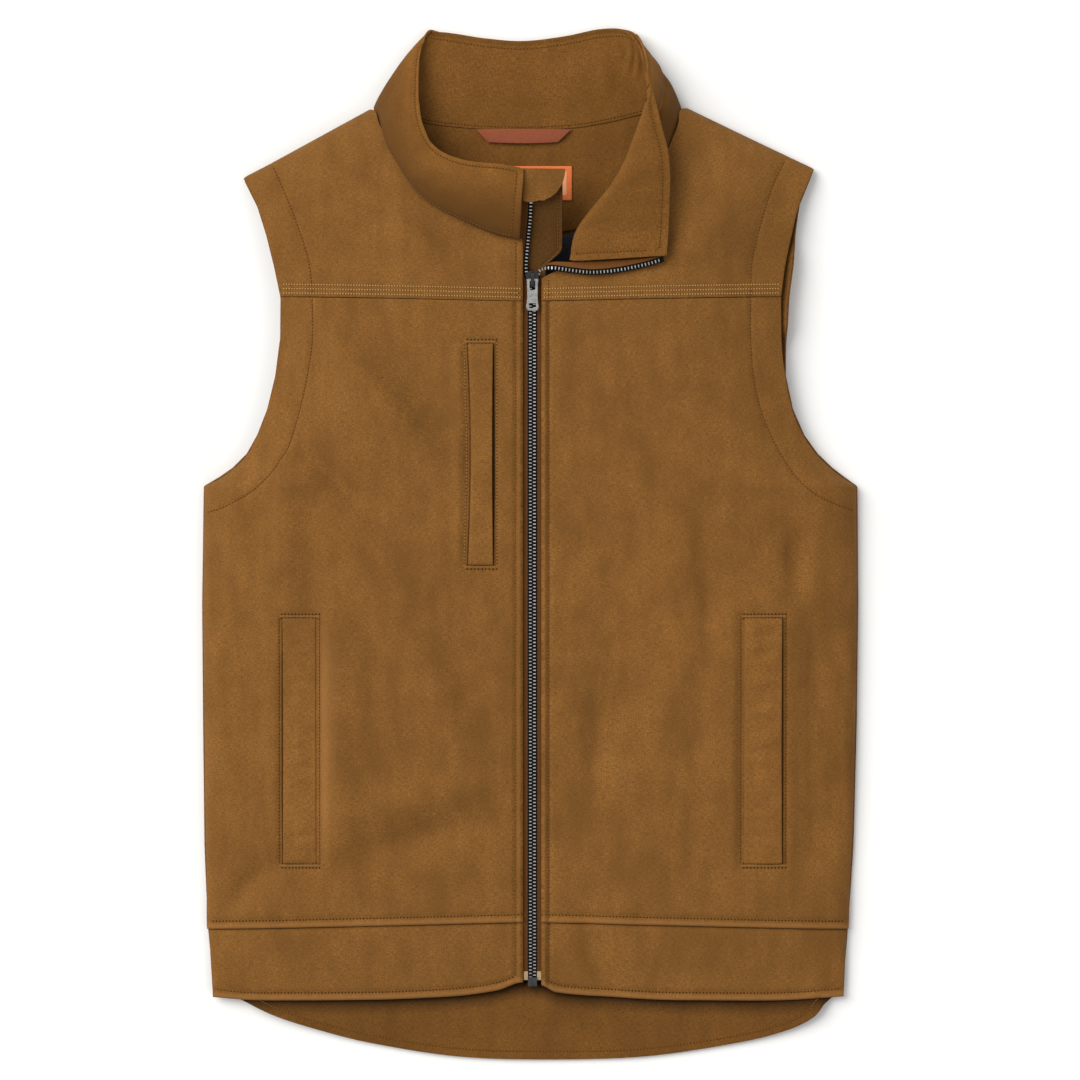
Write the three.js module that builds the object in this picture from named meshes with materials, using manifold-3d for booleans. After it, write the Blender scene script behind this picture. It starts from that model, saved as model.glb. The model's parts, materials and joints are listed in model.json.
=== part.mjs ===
// Softshell work vest, zipped to the chest, lying on its back with its front up.
// Millimetres: +X to the wearer's left, +Y to the collar, +Z up from the floor.
// Right and left are the wearer's, so right is at negative X.
import * as THREE from "three";
import { mergeVertices } from "three/addons/utils/BufferGeometryUtils.js";
import Module from "manifold-3d";

const wasm = await Module();
wasm.setup();

// Width across the chest, laid flat
const WIDTH = 546.6;

// Thicknesses
const CLOTH = 2.0;
const COLLAR_CLOTH = 4.0;
const FACING = 1.0;
const TAPE = 0.8;
const WELT_CLOTH = 1.8;
const SEAM_GAP = 0.4;
const NECK_GAP = 3.8;

// Front: where it opens, how far in from its edge it rises, and the steps at its seams
const CENTRE = 2.0;
const FRONT_EDGE = { right: -5.8, left: 9.4 };
const REACH = 130;
const SHOULDER_HEIGHT = 5;
const YOKE_STEP = 0.8;
const BAND_STEP = 0.8;
const CHEST_SEAM = { edge: 206, centre: 201.5 };
const HEM_SEAM = { edge: -322, centre: -315.5 };
const BACK_CURL = { rise: 2.6, width: 14 };

// Outline of the front from hem to chest seam: the x of each side's edge
const OUTLINE = [
  { y: -382, right: -265.3, left: 262.3 },
  { y: -322, right: -268.6, left: 264.8 },
  { y: -250, right: -271.2, left: 269.2 },
  { y: -150, right: -272.4, left: 272.0 },
  { y: -50, right: -273.3, left: 273.3 },
  { y: 47, right: -272.0, left: 272.8 },
  { y: 54, right: -260.0, left: 263.0 },
  { y: 62, right: -248.5, left: 252.5 },
  { y: 74, right: -236.5, left: 240.0 },
  { y: 90, right: -227.5, left: 228.5 },
  { y: 112, right: -219.0, left: 219.0 },
  { y: 140, right: -212.3, left: 213.0 },
  { y: 172, right: -208.2, left: 209.8 },
  { y: 206, right: -208.0, left: 209.5 },
];

// Height of the front over the floor: at its edge, at its crown, and how far the edge is a rounded fold
const HEIGHTS = [
  { y: -382, edge: 6, crown: 15, fold: 0.8 },
  { y: -322, edge: 5, crown: 24, fold: 1 },
  { y: -160, edge: 5, crown: 32, fold: 1 },
  { y: 47, edge: 5, crown: 37, fold: 1 },
  { y: 74, edge: 11, crown: 38, fold: 0.45 },
  { y: 120, edge: 16, crown: 39, fold: 0.1 },
  { y: 206, edge: 18, crown: 40, fold: 0 },
];

// Soft folds and dents in the front: middle, bearing in degrees, half length, half width, height
const FOLDS = [
  { x: -121, y: 116, bearing: -50, long: 70, wide: 14, rise: 3 },
  { x: -96, y: 137, bearing: -50, long: 60, wide: 17, rise: -2 },
  { x: -162, y: 53, bearing: -43, long: 36, wide: 9, rise: -2.5 },
  { x: -204, y: 3, bearing: 90, long: 60, wide: 14, rise: 2.5 },
  { x: -92, y: -245, bearing: 14, long: 65, wide: 12, rise: -3.5 },
  { x: -92, y: -213, bearing: 12, long: 65, wide: 13, rise: 2 },
  { x: -233, y: -284, bearing: 42, long: 28, wide: 9, rise: -3.5 },
  { x: -88, y: -105, bearing: -60, long: 70, wide: 20, rise: 2.5 },
  { x: 148, y: -30, bearing: 90, long: 45, wide: 12, rise: -2.5 },
  { x: 117, y: -138, bearing: 75, long: 60, wide: 20, rise: 2.5 },
  { x: 58, y: -163, bearing: 80, long: 50, wide: 15, rise: -2.5 },
  { x: 52, y: -338, bearing: -70, long: 50, wide: 13, rise: -2 },
  { x: 221, y: -13, bearing: 90, long: 30, wide: 8, rise: -2.5 },
  { x: -98, y: 260, bearing: -45, long: 40, wide: 12, rise: 2 },
  { x: 150, y: 262, bearing: 50, long: 45, wide: 15, rise: 1.5 },
];

// Armhole from the chest seam to the shoulder tip, and the shoulder's end at the neck
const YOKE_ARMHOLE = {
  right: [[-208, 206], [-213.5, 232], [-220, 258], [-227.5, 282], [-239.5, 306]],
  left: [[209.5, 206], [213, 232], [218.5, 258], [225, 284], [237.2, 313.5]],
};
const BACK_ARMHOLE = { left: 5.5, right: 0 };
const SHOULDER_END = { right: [-134, 363.5], left: [131.5, 364.5] };
const BACK_SHOULDER_END = { right: [-131, 362.5], left: [130, 364.5] };
// Top edge of the left yoke from the zip to the lapel's foot
const LEFT_OPENING = [[9.4, 220.5], [20, 226.2], [34, 231.2]];

// Lower edge of the front hem bands, and of the back's drop tail
const HEM_EDGE = [
  { x: -265.5, y: -379 },
  { x: -224, y: -381.5 },
  { x: -146, y: -381 },
  { x: -67, y: -378 },
  { x: -28, y: -373 },
  { x: -5.8, y: -366 },
  { x: 9.4, y: -368.5 },
  { x: 22, y: -374.5 },
  { x: 62, y: -378 },
  { x: 121, y: -381 },
  { x: 200, y: -381.5 },
  { x: 262.5, y: -378.5 },
];
const TAIL = [
  [-264, -372], [-240, -381.5], [-212, -395], [-175, -407], [-131, -418], [-62, -428.8], [10, -431.5],
  [95, -429], [173, -417.5], [214, -407], [236, -396], [246, -384], [261, -372],
];

// Collar band, a row for each section: its neck seam, the middle of its height and its top edge.
// The rows run from the right front edge, round the back of the neck, to the folded-out lapel.
const COLLAR = [
  { neck: [-8.2, 254, 38], bend: [-6.8, 283, 47], edge: [-5.4, 311, 49] },
  { neck: [-31, 260, 37.5], bend: [-27, 288, 47], edge: [-23.5, 314.5, 49.5] },
  { neck: [-53, 270, 36.5], bend: [-51, 294, 46.5], edge: [-50, 317, 48.5] },
  { neck: [-75, 281.5, 34.5], bend: [-71, 302, 44.5], edge: [-67.5, 322, 46] },
  { neck: [-92, 296, 31.5], bend: [-87, 313, 41], edge: [-80.5, 331, 42] },
  { neck: [-106, 317, 26], bend: [-98, 330, 35.5], edge: [-88, 344, 36] },
  { neck: [-118, 337, 20], bend: [-107, 348, 28.5], edge: [-92, 360, 29] },
  { neck: [-125.5, 351, 14.5], bend: [-111, 366, 21], edge: [-93, 382, 20.5] },
  { neck: [-128.5, 361, 9.5], bend: [-111.5, 385, 13.5], edge: [-91.5, 408, 12] },
  { neck: [-127, 365, 5], bend: [-109, 397.5, 6.5], edge: [-84, 428, 6] },
  { neck: [-110, 359, 2.4], bend: [-94, 394, 2.4], edge: [-75, 428.5, 2.4] },
  { neck: [-82, 351.5, 2.2], bend: [-74, 390, 2.2], edge: [-62, 427, 2.2] },
  { neck: [-44, 347.5, 2.2], bend: [-41, 385.5, 2.2], edge: [-36, 423, 2.2] },
  { neck: [-5, 346.5, 2.2], bend: [-5, 384, 2.2], edge: [-5, 421, 2.2] },
  { neck: [34, 348, 2.2], bend: [32, 386.5, 2.2], edge: [29, 425, 2.2] },
  { neck: [65, 353, 2.2], bend: [62, 392, 2.2], edge: [56, 430.6, 2.2] },
  { neck: [90, 359, 2.4], bend: [86, 396, 3.2], edge: [75, 431.1, 3.6] },
  { neck: [110, 364.5, 3.5], bend: [101, 396, 6.5], edge: [86, 426, 8.5] },
  { neck: [122, 367, 6.5], bend: [110, 392.5, 16], edge: [92, 416, 17] },
  { neck: [124.5, 362, 11], bend: [111, 383, 27], edge: [95.5, 403.5, 28] },
  { neck: [123.5, 352, 15], bend: [105, 369.5, 39], edge: [98.5, 387, 38] },
  { neck: [119, 340, 20], bend: [93, 352, 46], edge: [104, 365, 44] },
  { neck: [112, 325, 26], bend: [84.5, 337, 48.5], edge: [109.5, 344, 47.5] },
  { neck: [101, 304, 31.5], bend: [76, 316, 49.5], edge: [114, 327, 47] },
  { neck: [88, 284, 35], bend: [67, 296, 50], edge: [116, 306, 46] },
  { neck: [71, 263, 37], bend: [54, 275, 49], edge: [115.5, 280, 45] },
  { neck: [56, 248, 38.5], bend: [42, 259, 47], edge: [114.8, 258, 44.5] },
  { neck: [47, 237, 40], bend: [35.5, 235.5, 44.5], edge: [113.4, 239.5, 44.5] },
];
const COLLAR_RIGHT_FRONT = 9;
const COLLAR_BACK = [10, 17];
const COLLAR_LEFT_SIDE = 19;

// Zip: row of teeth, tape, and the paths of the two rows above the slider
const TEETH = { width: 3.0, thick: 2.8, sink: 3.3, part: 0.2, foot: -361.2 };
const TAPE_WIDTH = 12.5;
const TAPE_SINK = 3.7;
const UPPER_ROW = {
  right: [
    [-0.1, 216, 36.7], [-2.6, 224, 36.6], [-3.2, 231, 36], [-1.4, 254, 35],
    [0.2, 270, 38.4], [0.9, 284, 41.6], [1.6, 302, 43.4],
  ],
  left: [
    [4.1, 216, 36.7], [5.9, 223, 36.6], [9, 227.6, 37.4], [14, 229.2, 40.6], [19.5, 229.2, 42.4],
    [33, 227.4, 43], [50, 225.6, 43], [71, 227.2, 43], [97, 232.4, 43.4], [111, 236.6, 43.6],
  ],
};
const CLOSED_ROWS = [-322, -290, -250, -200, -150, -100, -50, 0, 50, 100, 150, 192];
const COLLAR_TAPE = 7;
const SLIDER_TAPE = 3.4;
// Width of the tape along the lapel's foot, a number for each of the left row's points from the lapel's start
const LAPEL_START = 3;
const LAPEL_TAPE = [1.6, 3.4, 5.0, 7.2, 6.6, 3.2, 0.8];
const WIND_FLAP = {
  left: 26.7, right: -15, sink: 8, below: 4.4, thick: 1.5, foot: -358, top: 303,
  tuck: { x: 13, from: 229, to: 247 },
};
const GARAGE = {
  x: -4.9, foot: 285, top: 311.5, flat: 13, long: 35.5, height: 49.2, droop: 4.5, thick: 1.5,
};

// Slider, its bridge, pull tab and retainer box
const SLIDER = { y: 220.5, length: 13, head: 11, tail: 8.4, plate: 1.5, bevel: 0.35, top: 0.6, bottom: -5.3 };
const BRIDGE = { width: 2.6, from: -7.2, to: 5.2, rise: 4.2, wall: 1.2 };
const PULL = {
  pivot: 219.4, lift: 2.0, above: 0.9, length: 25.8, top: 9.8, waist: 8.8, foot: 10.5, thick: 1.6,
  slot: { width: 4.8, from: -0.9, to: -8.6 }, window: { width: 6.0, from: -19.4, to: -23.6 }, corner: 1.4,
};
const BOX = { width: 7.6, foot: -369.2, top: -361.7, thick: 4.4 };
const TAPE_END = { foot: -364, top: -356.7, width: 3.4, thick: 0.5 };

// Pocket welts on the front, the hanger loop and the neck label
const WELTS = {
  chest_pocket_welt: { x: [-51.8, -30.8], y: [-17.5, 166.5] },
  right_pocket_welt: { x: [-206, -178.4], y: [-266.5, -61.8] },
  left_pocket_welt: { x: [178.4, 210], y: [-266.5, -61.8] },
};
const LOOP = {
  top: [-45.5, 35], foot: [-35.5, 23.3], y: [335.3, 346.4], height: 4.8, bow: 1.4, thick: 1.2,
};
const LABEL = { x: [-49, 35], y: [287.5, 316.2], thick: 0.7 };
const NECK_FACING = { side: 108, corner: 290, middle: 252 };
const LINING = { inset: 16, foot: -345, shoulder: 286, armhole: 262, share: 0.55, gap: 3 };

const COLOURS = {
  cloth: 0x83592d, inner: 0x78502a, lining: 0x1e1e28, tape: 0x643d1a, metal: 0x8e8e8a, teeth: 0x5a544e,
  loop: 0x95523a, label: 0xf06e32, tape_end: 0xc9ab7e,
};

const vector = (x, y, z) => new THREE.Vector3(x, y, z);
const { lerp, clamp, smoothstep } = THREE.MathUtils;
const sides = ["right", "left"];

// Value of a table's column at a place, eased between its rows without overshoot
function column(table, name, at, by = "y") {
  const last = table.length - 1;
  if (at <= table[0][by]) return table[0][name];
  if (at >= table[last][by]) return table[last][name];
  let row = 0;
  while (table[row + 1][by] < at) row += 1;
  const rate = (i) => (table[i + 1][name] - table[i][name]) / (table[i + 1][by] - table[i][by]);
  const slope = (i) => {
    if (i === 0) return rate(0);
    if (i === last) return rate(last - 1);
    const before = rate(i - 1);
    const after = rate(i);
    return before * after <= 0 ? 0 : (2 * before * after) / (before + after);
  };
  const step = table[row + 1][by] - table[row][by];
  const t = (at - table[row][by]) / step;
  const s = 1 - t;
  return table[row][name] * s * s * (1 + 2 * t) + table[row + 1][name] * t * t * (3 - 2 * t) +
    step * t * s * (slope(row) * s - slope(row + 1) * t);
}

// Height that the folds and dents add at a place on the front
function foldHeight(x, y) {
  let rise = 0;
  for (const fold of FOLDS) {
    const turn = THREE.MathUtils.degToRad(fold.bearing);
    const along = (x - fold.x) * Math.cos(turn) + (y - fold.y) * Math.sin(turn);
    const across = (y - fold.y) * Math.cos(turn) - (x - fold.x) * Math.sin(turn);
    rise += fold.rise * Math.exp(-((along / fold.long) ** 2) - (across / fold.wide) ** 2);
  }
  return rise;
}

// Folds die out towards the stiff zip
const awayFromZip = (x) => smoothstep(Math.abs(x - CENTRE), 20, 48);

// Height of the front's outer face below the chest seam
function frontHeight(x, y) {
  const inset = Math.abs(x - column(OUTLINE, x < CENTRE ? "right" : "left", y));
  const reach = 1 - Math.min(inset / REACH, 1);
  const rounded = Math.sqrt(1 - reach * reach);
  const sloped = 1 - reach * reach;
  const edge = column(HEIGHTS, "edge", y);
  const rise = column(HEIGHTS, "crown", y) - edge;
  const folds = smoothstep(inset, 0, 30) * awayFromZip(x) * foldHeight(x, y);
  return edge + rise * lerp(sloped, rounded, column(HEIGHTS, "fold", y)) + folds;
}

// A closed box of side 1 with nu by nv cells, its corners shared by the faces that meet there
function cellBox(nu, nv) {
  const geometry = new THREE.BoxGeometry(1, 1, 1, nu, nv, 1);
  geometry.deleteAttribute("normal");
  geometry.deleteAttribute("uv");
  return mergeVertices(geometry);
}

// A closed wall of nu by nv cells on a surface, its two faces at from and to along the surface's normal
function wall(nu, nv, from, to, surface) {
  const geometry = cellBox(nu, nv);
  const place = geometry.getAttribute("position");
  const small = 1e-3;
  for (let i = 0; i < place.count; i += 1) {
    const u = place.getX(i) + 0.5;
    const v = place.getY(i) + 0.5;
    const along = surface(Math.min(u + small, 1), v).sub(surface(Math.max(u - small, 0), v));
    const up = surface(u, Math.min(v + small, 1)).sub(surface(u, Math.max(v - small, 0)));
    const normal = along.cross(up).normalize();
    const point = surface(u, v).addScaledVector(normal, place.getZ(i) > 0 ? to : from);
    place.setXYZ(i, point.x, point.y, point.z);
  }
  return geometry;
}

// A patch between four boundary curves, each a function from 0 to 1 that gives a point in plan
function patch(foot, head, start, end) {
  const corners = [foot(0), foot(1), head(0), head(1)];
  return (u, v) => {
    const at = new THREE.Vector2();
    at.addScaledVector(foot(u), 1 - v).addScaledVector(head(u), v);
    at.addScaledVector(start(v), 1 - u).addScaledVector(end(v), u);
    at.addScaledVector(corners[0], -(1 - u) * (1 - v)).addScaledVector(corners[1], -u * (1 - v));
    return at.addScaledVector(corners[2], -(1 - u) * v).addScaledVector(corners[3], -u * v);
  };
}
const plan = (rows) => rows.map((row) => new THREE.Vector2(row[0], row[1]));
const spline = (rows) => {
  const curve = new THREE.SplineCurve(plan(rows));
  return (t) => curve.getPoint(clamp(t, 0, 1));
};
const straight = (a, b) => (t) => new THREE.Vector2(lerp(a[0], b[0], t), lerp(a[1], b[1], t));
// Two curves end to end, the first up to the share given
const joined = (first, second, share) => (t) =>
  t <= share ? first(t / share) : second((t - share) / (1 - share));
const mirrored = (side, u) => side === "right" ? u : 1 - u;

// Collar band
const collarCurves = {};
for (const name of ["neck", "bend", "edge"]) {
  const points = COLLAR.map((row) => vector(...row[name]));
  collarCurves[name] = new THREE.CatmullRomCurve3(points, false, "catmullrom", 0.5);
}
function collarSurface(u, v) {
  const neck = collarCurves.neck.getPoint(clamp(u, 0, 1));
  const bend = collarCurves.bend.getPoint(clamp(u, 0, 1));
  const edge = collarCurves.edge.getPoint(clamp(u, 0, 1));
  const pull = bend.multiplyScalar(2).addScaledVector(neck, -0.5).addScaledVector(edge, -0.5);
  neck.multiplyScalar((1 - v) ** 2);
  return neck.addScaledVector(pull, 2 * v * (1 - v)).addScaledVector(edge, v * v);
}
// The neck seam's place beside a row of the collar, in plan, a gap away from the band
function neckSeam(row, gap) {
  const { neck, bend } = COLLAR[row];
  const away = new THREE.Vector2(neck[0] - bend[0], neck[1] - bend[1]).setLength(gap);
  return [neck[0] + away.x, neck[1] + away.y];
}
const rowsBetween = (a, b) =>
  Array.from({ length: Math.abs(b - a) + 1 }, (_, i) => a + i * Math.sign(b - a));

// Front panel below the chest seam
function frontPanel(side) {
  const rows = OUTLINE.slice(1);
  const last = rows.length - 1;
  const surface = (u, v) => {
    const row = Math.min(Math.floor(v * last), last - 1);
    const y = lerp(rows[row].y, rows[row + 1].y, v * last - row);
    const share = (y - HEM_SEAM.edge) / (CHEST_SEAM.edge - HEM_SEAM.edge);
    const inward = mirrored(side, u) ** 1.8;
    const x = lerp(column(OUTLINE, side, y), FRONT_EDGE[side], inward);
    const level = lerp(y, lerp(HEM_SEAM.centre, CHEST_SEAM.centre, share), inward);
    return vector(x, level, frontHeight(x, level));
  };
  return wall(12, last, -CLOTH, 0, surface);
}

// Front yoke from the chest seam to the shoulder, with the neck seam on its inner side
const YOKE_CELLS = { across: 9, up: 9, centre: 2 };
const yokeEase = (v) => 1 - (1 - v) ** 1.5;
function yokeNeck(side) {
  if (side === "right") return rowsBetween(0, COLLAR_RIGHT_FRONT - 1).map((row) => neckSeam(row, NECK_GAP));
  const rows = rowsBetween(COLLAR.length - 1, COLLAR_LEFT_SIDE).map((row) => neckSeam(row, NECK_GAP));
  return [...LEFT_OPENING, ...rows];
}
function yokeSurface(side) {
  const corner = [FRONT_EDGE[side], CHEST_SEAM.centre + SEAM_GAP];
  const [underarm, ...upper] = YOKE_ARMHOLE[side];
  const start = [underarm[0], underarm[1] + SEAM_GAP];
  const foot = straight(start, corner);
  const neck = [...yokeNeck(side), SHOULDER_END[side]];
  if (side === "right") neck[0] = [FRONT_EDGE.right, neck[0][1]];
  const neckCurve = spline(neck);
  const eased = (t) => neckCurve(yokeEase(t));
  const inner = joined(straight(corner, neck[0]), eased, YOKE_CELLS.centre / YOKE_CELLS.up);
  const armholeCurve = spline([start, ...upper]);
  const armhole = (t) => armholeCurve(yokeEase(t));
  const shoulder = straight(YOKE_ARMHOLE[side].at(-1), SHOULDER_END[side]);
  const inPlan = patch(foot, shoulder, armhole, inner);
  return (u, v) => {
    const across = mirrored(side, u);
    const at = inPlan(across, v);
    const seam = foot(across);
    const crown = frontHeight(seam.x, seam.y) + YOKE_STEP;
    const drop = 1 - Math.sqrt(Math.max(0, 1 - yokeEase(v) ** 2));
    const inside = smoothstep(across, 0, 0.15) * smoothstep(v, 0, 0.2) * (1 - smoothstep(v, 0.6, 0.95));
    const rise = inside * awayFromZip(at.x) * foldHeight(at.x, at.y);
    return vector(at.x, at.y, lerp(crown, SHOULDER_HEIGHT, drop) + rise);
  };
}

// Hem band under a front panel
function hemBand(side) {
  const surface = (u, v) => {
    const inward = mirrored(side, u) ** 1.8;
    const y = lerp(OUTLINE[0].y, HEM_SEAM.edge, v);
    const x = lerp(column(OUTLINE, side, y), FRONT_EDGE[side], inward);
    const seam = lerp(HEM_SEAM.edge, HEM_SEAM.centre, inward) - SEAM_GAP;
    const level = lerp(column(HEM_EDGE, "y", x, "x"), seam, v);
    return vector(x, level, Math.max(frontHeight(x, level) - BAND_STEP * smoothstep(inward, 0, 0.1), 5));
  };
  return wall(16, 3, -CLOTH, 0, surface);
}

// Back: one panel flat on the floor, its sides curled up to meet the front
const backSide = {};
for (const side of sides) {
  const rows = OUTLINE.slice(0, -1);
  const out = side === "left" ? 1 : -1;
  const wider = (y) => out * BACK_ARMHOLE[side] * smoothstep(y, 95, 150) * (1 - smoothstep(y, 232, 290));
  const low = rows.map((row) => [row[side] + wider(row.y), Math.max(row.y, TAIL[0][1])]);
  const high = YOKE_ARMHOLE[side].map((row) => [row[0] + wider(row[1]), row[1]]);
  backSide[side] = [...low, ...high];
}
const polyline = (rows) => (t) => {
  const at = clamp(t, 0, 1) * (rows.length - 1);
  const row = Math.min(Math.floor(at), rows.length - 2);
  return straight(rows[row], rows[row + 1])(at - row);
};
const spread = (u) => 0.5 - 0.5 * Math.cos(Math.PI * u);
const BACK_CELLS = { across: 20, shoulder: 6 };
const shoulderShare = spread(BACK_CELLS.shoulder / BACK_CELLS.across);
function backPlan() {
  const neck = rowsBetween(...COLLAR_BACK).map((row) => neckSeam(row, 1.4));
  const ends = [BACK_SHOULDER_END.right, BACK_SHOULDER_END.left];
  const neckCurve = spline([ends[0], ...neck, ends[1]]);
  const head = (u) => {
    if (u < shoulderShare) return straight(YOKE_ARMHOLE.right.at(-1), ends[0])(u / shoulderShare);
    if (u > 1 - shoulderShare) return straight(YOKE_ARMHOLE.left.at(-1), ends[1])((1 - u) / shoulderShare);
    return neckCurve((u - shoulderShare) / (1 - 2 * shoulderShare));
  };
  return patch(spline(TAIL), head, polyline(backSide.right), polyline(backSide.left));
}
const backInPlan = backPlan();
function backPanel() {
  const surface = (u, v) => {
    const across = spread(u);
    const at = backInPlan(across, v);
    const inset = Math.min(across, 1 - across) * WIDTH;
    const curl = Math.max(0, 1 - inset / BACK_CURL.width) ** 2 * smoothstep(v, 0, 0.12);
    const shoulder = Math.max(0, 1 - (1 - v) / 0.03) ** 2 * smoothstep(Math.abs(across - 0.5), 0.28, 0.32);
    return vector(at.x, at.y, BACK_CURL.rise * Math.max(curl, shoulder));
  };
  return wall(BACK_CELLS.across, backSide.right.length - 1, 0, CLOTH, surface);
}
const FACING_FOOT = CLOTH + 0.3;
function facingFoot(u, gap) {
  const x = lerp(-NECK_FACING.side, NECK_FACING.side, u);
  const away = x / NECK_FACING.side;
  return new THREE.Vector2(x, lerp(NECK_FACING.middle, NECK_FACING.corner, away * away) - gap);
}
function backNeckFacing() {
  const neck = spline(rowsBetween(...COLLAR_BACK).map((row) => neckSeam(row, 1.8)));
  const foot = (u) => facingFoot(u, 0);
  const side = (u) => straight(foot(u).toArray(), neck(u).toArray());
  const inPlan = patch(foot, neck, side(0), side(1));
  return wall(14, 3, FACING_FOOT, FACING_FOOT + FACING, (u, v) => vector(...inPlan(u, v), 0));
}
function backLining() {
  const surface = (u, v) => {
    const out = Math.abs(2 * u - 1);
    const beside = lerp(LINING.shoulder, LINING.armhole, (out - LINING.share) / (1 - LINING.share));
    const below = facingFoot(0.5 + (u - 0.5) / LINING.share, LINING.gap).y;
    const y = lerp(LINING.foot, out > LINING.share ? beside : below, v);
    const right = column(OUTLINE, "right", y) + LINING.inset;
    const left = column(OUTLINE, "left", y) - LINING.inset;
    return vector(lerp(right, left, u), y, 0);
  };
  return wall(14, 12, FACING_FOOT, FACING_FOOT + FACING * 0.8, surface);
}

// A strip along a path in space, from left to right of the path in plan and from foot to top of it in height;
// left and right are functions of the place along the path
function strip(path, cells, left, right, foot, top) {
  const geometry = cellBox(1, cells);
  const place = geometry.getAttribute("position");
  for (let i = 0; i < place.count; i += 1) {
    const v = clamp(place.getY(i) + 0.5, 0, 1);
    const way = path.getTangent(v);
    const across = vector(way.y, -way.x, 0).normalize();
    const point = path.getPoint(v).addScaledVector(across, place.getX(i) > 0 ? right(v) : left(v));
    place.setXYZ(i, point.x, point.y, point.z + (place.getZ(i) > 0 ? top : foot));
  }
  return geometry;
}
const crownAt = (y) => column(HEIGHTS, "crown", Math.min(y, CHEST_SEAM.centre));
const rowX = { right: CENTRE - TEETH.part - TEETH.width / 2, left: CENTRE + TEETH.part + TEETH.width / 2 };
function rowPath(side, foot, count = UPPER_ROW[side].length) {
  const closed = [foot, ...CLOSED_ROWS].map((y) => vector(rowX[side], y, crownAt(y) - TEETH.sink));
  const opened = UPPER_ROW[side].slice(0, count).map((point) => vector(...point));
  return new THREE.CatmullRomCurve3([...closed, ...opened], false, "centripetal");
}
function zipTeeth(side) {
  const half = TEETH.width / 2;
  return strip(rowPath(side, TEETH.foot), 60, () => -half, () => half, -TEETH.thick / 2, TEETH.thick / 2);
}
const tapeNear = TEETH.width / 2 + 0.3;
const tapeFoot = TEETH.sink - TAPE_SINK - TAPE / 2;
const tapeAlong = (path, cells, left, right) => strip(path, cells, left, right, tapeFoot, tapeFoot + TAPE);
function rightTape() {
  const path = rowPath("right", TEETH.foot);
  const open = (CLOSED_ROWS.length + 1) / (CLOSED_ROWS.length + UPPER_ROW.right.length);
  const width = (v) => lerp(TAPE_WIDTH, COLLAR_TAPE, smoothstep(v, open, 1));
  return tapeAlong(path, 52, (v) => -tapeNear - width(v), () => -tapeNear);
}
// The left tape ends at the slider, where it turns over; it goes on along the lapel's foot
function leftTape() {
  const path = rowPath("left", TEETH.foot, 2);
  const width = (v) => lerp(TAPE_WIDTH, SLIDER_TAPE, smoothstep(v, 0.93, 1));
  return tapeAlong(path, 40, () => tapeNear, (v) => tapeNear + width(v));
}
function lapelTape() {
  const rows = UPPER_ROW.left.slice(LAPEL_START).map((point) => vector(...point));
  const path = new THREE.CatmullRomCurve3(rows, false, "centripetal");
  const width = (v) => {
    const row = Math.min(Math.floor(v * (rows.length - 1)), rows.length - 2);
    return lerp(LAPEL_TAPE[row], LAPEL_TAPE[row + 1], v * (rows.length - 1) - row);
  };
  return tapeAlong(path, 18, (v) => -tapeNear - width(v), () => -tapeNear);
}
function windFlap() {
  const sunk = (y, top) => vector(CENTRE, y, top - WIND_FLAP.sink);
  const closed = [WIND_FLAP.foot, -300, -160, 0, 150, 215].map((y) => sunk(y, crownAt(y)));
  const opened = UPPER_ROW.right.slice(3, -1).map(([, y, z]) => sunk(y, z + WIND_FLAP.below));
  const end = sunk(WIND_FLAP.top, UPPER_ROW.right.at(-1)[2] + WIND_FLAP.below);
  const path = new THREE.CatmullRomCurve3([...closed, ...opened, end], false, "centripetal");
  const { x, from, to } = WIND_FLAP.tuck;
  const right = () => WIND_FLAP.right - CENTRE;
  const left = (v) => lerp(x, WIND_FLAP.left, smoothstep(path.getPoint(v).y, from, to)) - CENTRE;
  return strip(path, 45, right, left, -WIND_FLAP.thick, 0);
}
function zipGarage() {
  const surface = (u, v) => {
    const long = GARAGE.flat + (GARAGE.long - GARAGE.flat) * Math.sqrt(1 - (1 - v) ** 2);
    const reach = u * long;
    const y = lerp(GARAGE.foot, GARAGE.top, v) - 1.5 * Math.sin(Math.PI * u) * (1 - v);
    return vector(GARAGE.x + reach, y, GARAGE.height - GARAGE.droop * (reach / GARAGE.long) ** 1.5);
  };
  return wall(6, 6, -GARAGE.thick, 0, surface);
}

// Solids joined and cut
function solidOf(geometry) {
  const bare = geometry.clone();
  for (const name of ["normal", "uv"]) if (bare.getAttribute(name)) bare.deleteAttribute(name);
  const merged = mergeVertices(bare, 1e-4);
  return new wasm.Manifold(new wasm.Mesh({
    numProp: 3,
    vertProperties: new Float32Array(merged.getAttribute("position").array),
    triVerts: new Uint32Array(merged.index.array),
  }));
}
function geometryOf(solid) {
  const mesh = solid.getMesh();
  const geometry = new THREE.BufferGeometry();
  geometry.setAttribute("position", new THREE.BufferAttribute(new Float32Array(mesh.vertProperties), 3));
  geometry.setIndex(new THREE.BufferAttribute(new Uint32Array(mesh.triVerts), 1));
  return geometry;
}
const box = (x, y, z) => new THREE.BoxGeometry(x[1] - x[0], y[1] - y[0], z[1] - z[0])
  .translate((x[0] + x[1]) / 2, (y[0] + y[1]) / 2, (z[0] + z[1]) / 2);
function plate(shape, thick, bevel) {
  return new THREE.ExtrudeGeometry(shape, {
    depth: thick - 2 * bevel,
    curveSegments: 4,
    bevelEnabled: bevel > 0,
    bevelThickness: bevel,
    bevelSize: bevel,
    bevelOffset: -bevel,
    bevelSegments: 1,
  }).translate(0, 0, bevel);
}

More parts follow.
